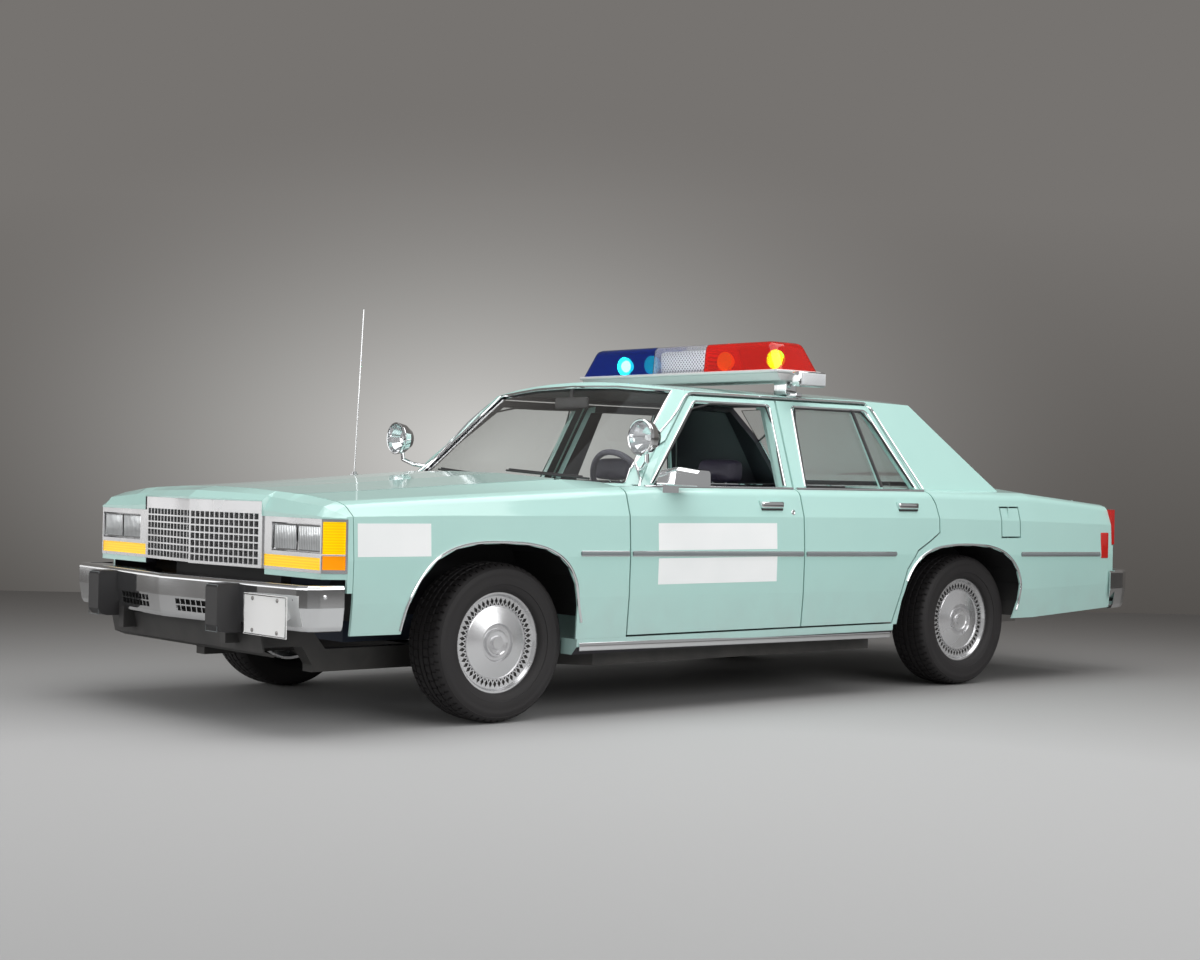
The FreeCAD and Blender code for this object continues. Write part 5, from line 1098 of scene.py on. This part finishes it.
def swell(obj, cap):
    """Inflate a closed mesh with cloth pressure and keep each point within cap of its start."""
    start = [v.co.copy() for v in obj.data.vertices]
    cloth = obj.modifiers.new("cloth", "CLOTH")
    cloth.settings.use_pressure = True
    cloth.settings.uniform_pressure_force = 4.0
    cloth.settings.effector_weights.gravity = 0.0
    cloth.settings.tension_stiffness = CLOTH_STIFFNESS
    cloth.settings.compression_stiffness = CLOTH_STIFFNESS
    cloth.point_cache.frame_start = 1
    cloth.point_cache.frame_end = CLOTH_FRAMES
    for frame_number in range(1, CLOTH_FRAMES + 1):
        scene.frame_set(frame_number)
    shaped = obj.evaluated_get(bpy.context.evaluated_depsgraph_get()).to_mesh()
    moved = [v.co.copy() for v in shaped.vertices]
    obj.modifiers.remove(cloth)
    scene.frame_set(1)
    for vertex, first, last in zip(obj.data.vertices, start, moved):
        step = last - first
        if step.length > cap:
            step *= cap / step.length
        vertex.co = first + step


def pad(name, corners, half_width, cap, centre_y=0.0, rounding=0.035, pleats=None,
        face=(0, 0, 1), voxel=PAD_VOXEL, width_taper=1.0):
    """Cushion whose side view is four (x, z) corners. Its pleats lie on the side that face
    points to, between two distances from its middle."""
    deselect()
    bpy.ops.mesh.primitive_cube_add(size=1, location=(0, 0, 0))
    obj = bpy.context.object
    for vertex in obj.data.vertices:
        ahead, top = vertex.co.x > 0, vertex.co.z > 0
        x, z = corners[(0 if ahead else 1) if not top else (3 if ahead else 2)]
        narrow = width_taper if top else 1.0
        vertex.co = (x, centre_y + math.copysign(half_width * narrow, vertex.co.y), z)
    apply_modifier(obj, "BEVEL", width=rounding, segments=4)
    obj.data.remesh_voxel_size = voxel
    bpy.ops.object.voxel_remesh()
    swell(obj, cap)
    apply_modifier(obj, "SMOOTH", iterations=4)
    face = Vector(face).normalized()
    if pleats:
        low, high = pleats
        normals = [v.normal.copy() for v in obj.data.vertices]
        for vertex, normal in zip(obj.data.vertices, normals):
            towards = max(0.0, normal.dot(face))
            y = abs(vertex.co.y - centre_y)
            edge = min(1.0, max(0.0, (y - low) / 0.02)) * min(1.0, max(0.0, (high - y) / 0.02))
            wave = abs(math.sin(vertex.co.y * math.pi / PLEAT))
            vertex.co -= normal * (1 - wave) ** 2 * 0.009 * towards ** 2 * edge
    turn_normals_outward()
    smooth = obj.modifiers.new("finish", "SUBSURF")
    smooth.levels = smooth.render_levels = 1
    dress(obj, name, navy_vinyl, "body", smooth=0)
    for polygon in obj.data.polygons:
        polygon.use_smooth = True
    return obj


front_cushion = pad("front_seat_cushion",
                    [(-1.165, 0.470), (-1.560, 0.440), (-1.575, 0.545), (-1.165, 0.565)],
                    0.660, 0.016, pleats=(0.05, 0.60))
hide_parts("seats")
pad("front_seat_back", [(-1.585, 0.500), (-1.680, 0.500), (-1.722, 0.965), (-1.645, 0.975)],
    0.660, 0.018, pleats=(0.05, 0.60), face=(1, 0, 0.15))
for hand, side_name in HANDS:
    pad(f"headrest_{side_name}",
        [(-1.640, 0.990), (-1.728, 0.990), (-1.738, 1.090), (-1.660, 1.096)], 0.132, 0.009,
        centre_y=hand * 0.38, rounding=0.028, voxel=0.006, width_taper=0.92)
    for y in (hand * 0.38 - 0.045, hand * 0.38 + 0.045):
        drum(f"headrest_post_{side_name}_{round(abs(y) * 1000)}", (-1.690, y, 0.950), (0, 0, 1),
             [(0.0, CORE), (0.0, 0.0055), (0.060, 0.0055), (0.060, CORE)], chrome, steps=12)
pad("rear_seat_cushion", [(-2.200, 0.528), (-2.670, 0.528), (-2.670, 0.590), (-2.190, 0.615)],
    0.565, 0.014, pleats=(0.03, 0.52))
pad("rear_seat_back", [(-2.665, 0.585), (-2.765, 0.575), (-2.845, 0.925), (-2.800, 0.935)],
    0.565, 0.014, pleats=(0.03, 0.52), face=(1, 0, 0.4))
for name, y0, y1 in (("front_seat_base", -0.58, -0.17), ("front_seat_base_right", 0.17, 0.58)):
    block(name, (-1.60, y0, 0.312), (-1.20, y1, 0.44), 0.012, cabin_grey, slot="cabin_plastic")
print("seats padded")

# %% [markdown]
# ## Front lamps, grille and plate
# Sealed-beam lamps are pressed glass with upright ribs over a bright bowl. Each lens is a
# bevelled block with a ribbed, silvered finish and a bright rim. The grille and the lamp
# frames are plated plastic, a little softer in gloss than steel.

# %% Lamp lenses and plated plastic
plated = make_metal("plated_plastic", (0.74, 0.74, 0.75, 1), 0.24, 0.05, metallic=0.85)
for node_name in ("grille", "lamp_bezels"):
    cad[node_name].material_slots[0].material = plated
cover_steel = make_metal("cover_steel", (0.72, 0.72, 0.73, 1), 0.22, 0.05, metallic=0.8)
for place, *_ in WHEELS:
    cad[f"wheel_{place}"].material_slots[0].material = cover_steel
cad["front_valance"].material_slots[0].material = chassis_black


def make_lamp_face():
    """Pressed glass over a reflector, with upright ribs."""
    material, tree, shader = new_material("sealed_beam", (0.82, 0.84, 0.85, 1), 0.14, 0.55)
    ribs_up = waves(tree, object_coordinates(tree), "Y", 26.0)
    ribs_up.inputs["Distortion"].default_value = 1.2
    ribs_up.inputs["Detail"].default_value = 1.0
    silver = mix_colours(tree, ribs_up.outputs["Fac"], linear(186, 190, 192),
                         linear(232, 234, 235))
    tree.links.new(silver, shader.inputs["Base Color"])
    add_bump(tree, shader, ribs_up.outputs["Fac"], 0.6, 0.003)
    return material


lamp_face = make_lamp_face()
LAMPS = [(0.549, 0.716), (0.724, 0.891)]
LAMP_Z = (0.697, 0.797)


def rim_path(x, y0, y1, z0, z1):
    return [Vector((x, y0, z0)), Vector((x, y1, z0)), Vector((x, y1, z1)), Vector((x, y0, z1))]


for number, (y0, y1) in enumerate(LAMPS):
    both(block(f"headlamp_lens_{number}_left", (0.8463, y0 + 0.004, LAMP_Z[0] + 0.004),
               (0.8535, y1 - 0.004, LAMP_Z[1] - 0.004), 0.005, lamp_face, slot="lamp_glass"))
    rim = rim_path(0.8500, y0 + 0.002, y1 - 0.002, LAMP_Z[0] + 0.002, LAMP_Z[1] - 0.002)
    both(strip(f"headlamp_rim_{number}_left", rim, 0.0, 0.0035, chrome, closed=True))
print("front lamps", len(LAMPS) * 2)

# %% [markdown]
# The amber lenses are ribbed and glow faintly. The corner lamp's lens is more orange below
# its divider, so its colour changes with height and only at the car's corners.

# %% Amber lenses
amber_tree = amber_lens.node_tree
amber_shader = amber_tree.nodes["Principled BSDF"]
amber_place = object_coordinates(amber_tree)
amber_ribs = waves(amber_tree, amber_place, "Z", 30.0)
amber = mix_colours(amber_tree, amber_ribs.outputs["Fac"], (0.93, 0.60, 0.0, 1),
                    (1.0, 0.78, 0.0, 1))
lens_axes = split_axes(amber_tree, amber_place)
from_middle = calculate(amber_tree, "ABSOLUTE", lens_axes["Y"])
at_corner = remap(amber_tree, from_middle, 0.890, 0.900, 0.0, 1.0)
below_divider = remap(amber_tree, lens_axes["Z"], 0.684, 0.689, 1.0, 0.0)
turn_lens = calculate(amber_tree, "MULTIPLY", at_corner, below_divider)
lens_colour = mix_colours(amber_tree, turn_lens, amber, (0.95, 0.42, 0.005, 1))
amber_tree.links.new(lens_colour, amber_shader.inputs["Base Color"])
amber_tree.links.new(lens_colour, amber_shader.inputs["Emission Color"])
amber_shader.inputs["Emission Strength"].default_value = 0.22
both(strip("corner_lamp_divider_left",
           [Vector((0.861, 0.906, 0.6870)), Vector((0.786, 0.956, 0.6870))], 0.001, 0.002, chrome))
print("amber lenses ribbed")

# %% [markdown]
# The plate has a thin frame and four screws, each guard a grey line round its pad, and the
# bumper's ends a dome-headed bolt.

# %% Number plate frame and screws
strip("plate_frame", rim_path(1.0075, 0.601, 0.903, 0.383, 0.531), 0.0, 0.0035, chrome,
      closed=True)
for y in (0.663, 0.841):
    for z in (0.397, 0.517):
        drum(f"plate_screw_{round(y * 1000)}_{round(z * 1000)}", (1.0055, y, z), (1, 0, 0),
             [(0.0, CORE), (0.0, 0.0085), (0.004, 0.0075), (0.0055, 0.004), (0.0055, CORE)],
             steel, steps=16, slot="bare_steel")
for hand, side_name in HANDS:
    y0, y1 = sorted_span(hand, 0.457, 0.543)
    strip(f"guard_line_{side_name}", rim_path(1.0895, y0, y1, 0.383, 0.561), 0.0, 0.0018,
          grey_trim, slot="grey_trim", closed=True)
    drum(f"bumper_bolt_{side_name}", (0.880, hand * 0.9655, 0.535), (0.1, hand, 0),
         [(0.0, CORE), (0.0, 0.011), (0.003, 0.0105), (0.0055, 0.006), (0.0065, CORE)], chrome,
         steps=20)
print("plate and guards finished")

# %% [markdown]
# ## Door furniture
# Handles are chromed pulls over a dark hand recess. Inside, each door carries a vinyl card
# with an armrest, and rubber seals run round the glass.

# %% Handles, locks, cards and seals
DOORS = [
    # end, handle x, lock x, card x range, skin, window path
    ("front", -1.455, -1.588, (-1.600, -0.775), left_door_skin, WINDOW_PATHS[0][2]),
    ("rear", -2.380, None, (-2.230, -1.800), rear_door_skin, WINDOW_PATHS[1][2]),
]
for end, handle_x, lock_x, card, skin, window in DOORS:
    door = f"{end}_door_left"
    both(block(f"{end}_handle_left", (handle_x - 0.070, 0.9545, 0.8775),
               (handle_x + 0.070, 0.9765, 0.9045), 0.007, chrome, door), door)
    both(block(f"{end}_handle_recess_left", (handle_x - 0.066, 0.955, 0.8655),
               (handle_x + 0.066, 0.9735, 0.8785), 0.003, black_rubber, door, "black_rubber"), door)
    if lock_x:
        both(drum(f"{end}_lock_left", beside(skin, lock_x, 0.858, -0.004), (0, 1, 0.1),
                  [(0.0, CORE), (0.0, 0.0125), (0.006, 0.012), (0.0075, 0.009), (0.006, 0.006),
                   (0.006, CORE)], chrome, door, steps=20), door)
    both(block(f"{end}_door_card_left", (card[0], 0.866, 0.400), (card[1], 0.8795, 0.925), 0.006,
               navy_vinyl, door, "cabin_plastic"), door)
    both(block(f"{end}_armrest_left", (card[0] + 0.06, 0.805, 0.630),
               (card[1] - 0.10, 0.868, 0.690), 0.020, navy_vinyl, door, "cabin_plastic"), door)
    middle = Vector((sum(p[0] for p in window) / 4, sum(p[1] for p in window) / 4))
    inner = [tuple(Vector(p) + (middle - Vector(p)).normalized() * 0.013) for p in window]
    both(strip(f"{end}_window_seal_left", trace(skin, rounded_path(inner, 0.02), -0.001), 0.0,
               0.0045, black_rubber, door, "black_rubber"), door)
division = trace(rear_door_skin, [(-2.2680, 0.978), (-2.2450, 1.338)], 0.0008)
both(strip("division_bar_left", division, 0.0, 0.0085, black_rubber, "rear_door_left",
           "black_rubber"), "rear_door_left")
print("doors furnished")

# %% [markdown]
# ## Spotlights, mirrors and wipers
# The pillar spotlights are chromed bowls closed by a ribbed glass. The wipers are black arms
# that rest at the foot of the windshield.

# %% Spotlights, mirrors, wipers
SPOT = Vector((-0.714, 0.915, 1.172))
both(drum("spotlight_glass_left", SPOT, (1, 0, 0),
          [(0.0065, CORE), (0.0065, 0.0710), (0.0095, 0.0710), (0.0125, 0.050), (0.0145, 0.025),
           (0.0150, CORE)], lamp_glass, slot="lamp_glass", steps=48))
both(drum("spotlight_ring_left", SPOT, (1, 0, 0),
          [(0.004, 0.071), (0.004, 0.0785), (0.010, 0.0795), (0.0135, 0.0755), (0.0125, 0.071)],
          chrome, steps=48, closed=True))
both(drum("spotlight_bulb_left", SPOT, (1, 0, 0),
          [(-0.052, CORE), (-0.050, 0.010), (-0.036, 0.013), (-0.024, 0.010), (-0.018, CORE)],
          white_enamel, slot="plate_white", steps=20))
block("mirror_pane_left", (-0.9605, 0.976, 0.979), (-0.9575, 1.062, 1.029), 0.001, chrome,
      "front_door_left")
screen_skin = skin_of("windshield")


def on_screen(y, z, lift):
    """Place on the windshield, lifted off the glass."""
    hit = screen_skin.ray_cast(Vector((0.3, y, z)), Vector((-1, 0, 0)))
    if hit[0] is None:
        hit = screen_skin.find_nearest(Vector((-0.7, y, z)))
    return hit[0] + Vector((lift, 0, lift * 0.6))


for name, y0, y1 in (("driver", 0.600, 0.060), ("passenger", -0.020, -0.560)):
    arm = [on_screen(y0 + (y1 - y0) * t, 0.985 + 0.030 * t, 0.012)
           for t in (0, 0.25, 0.5, 0.75, 1.0)]
    strip(f"wiper_arm_{name}", arm, 0.0, 0.0045, black_rubber, slot="black_rubber")
    blade = [on_screen(y0 + (y1 - y0) * t, 0.993 + 0.030 * t, 0.005) for t in (0.1, 0.4, 0.7, 1.0)]
    strip(f"wiper_blade_{name}", blade, 0.004, 0.002, black_rubber, slot="black_rubber")
block("inner_mirror", (-1.090, -0.120, 1.318), (-1.072, 0.120, 1.372), 0.008, black_rubber,
      slot="black_rubber")
block("inner_mirror_stem", (-1.085, -0.010, 1.366), (-1.073, 0.010, 1.412), 0.003,
      black_rubber, slot="black_rubber")
print("spotlights and wipers made")

# %% [markdown]
# ## Rear lamps and small lenses
# The tail lamps have bright frames and a clear reversing lens inboard, and a red marker shows
# at the side of each rear quarter.

# %% Rear lamps and markers
TAIL_X = -4.045
LAMP_BACK_X = TAIL_X - 0.031
for hand, side_name in HANDS:
    y0, y1 = sorted_span(hand, 0.700, 0.955)
    strip(f"tail_lamp_frame_{side_name}",
          rim_path(LAMP_BACK_X, y0 + 0.004, y1 - 0.004, 0.699, 0.876), 0.0, 0.004, chrome,
          closed=True)
    for z in (0.757, 0.817):
        ends = [Vector((LAMP_BACK_X, y0 + 0.004, z)), Vector((LAMP_BACK_X, y1 - 0.004, z))]
        strip(f"tail_lamp_bar_{side_name}_{round(z * 1000)}", ends, 0.0, 0.0028, chrome)
    y0, y1 = sorted_span(hand, 0.712, 0.775)
    block(f"reversing_lens_{side_name}", (TAIL_X - 0.0345, y0, 0.762),
          (TAIL_X - 0.029, y1, 0.812), 0.002, lamp_face, slot="lamp_glass")
marker_places = [beside(quarter_skin, x, z, 0) for x in (-3.946, -4.008) for z in (0.625, 0.755)]
marker_y = max(p.y for p in marker_places)
both(block("side_marker_left", (-4.010, marker_y - 0.022, 0.622),
           (-3.946, marker_y + 0.002, 0.758), 0.005, red_lens, slot="red_lens"))
drum("trunk_lock", (TAIL_X - 0.0215, 0, 0.830), (-1, 0, 0),
     [(0.0, CORE), (0.0, 0.020), (0.004, 0.019), (0.006, 0.012), (0.004, 0.008), (0.004, CORE)],
     chrome, "trunk_lid", steps=24)
print("rear lamps finished")
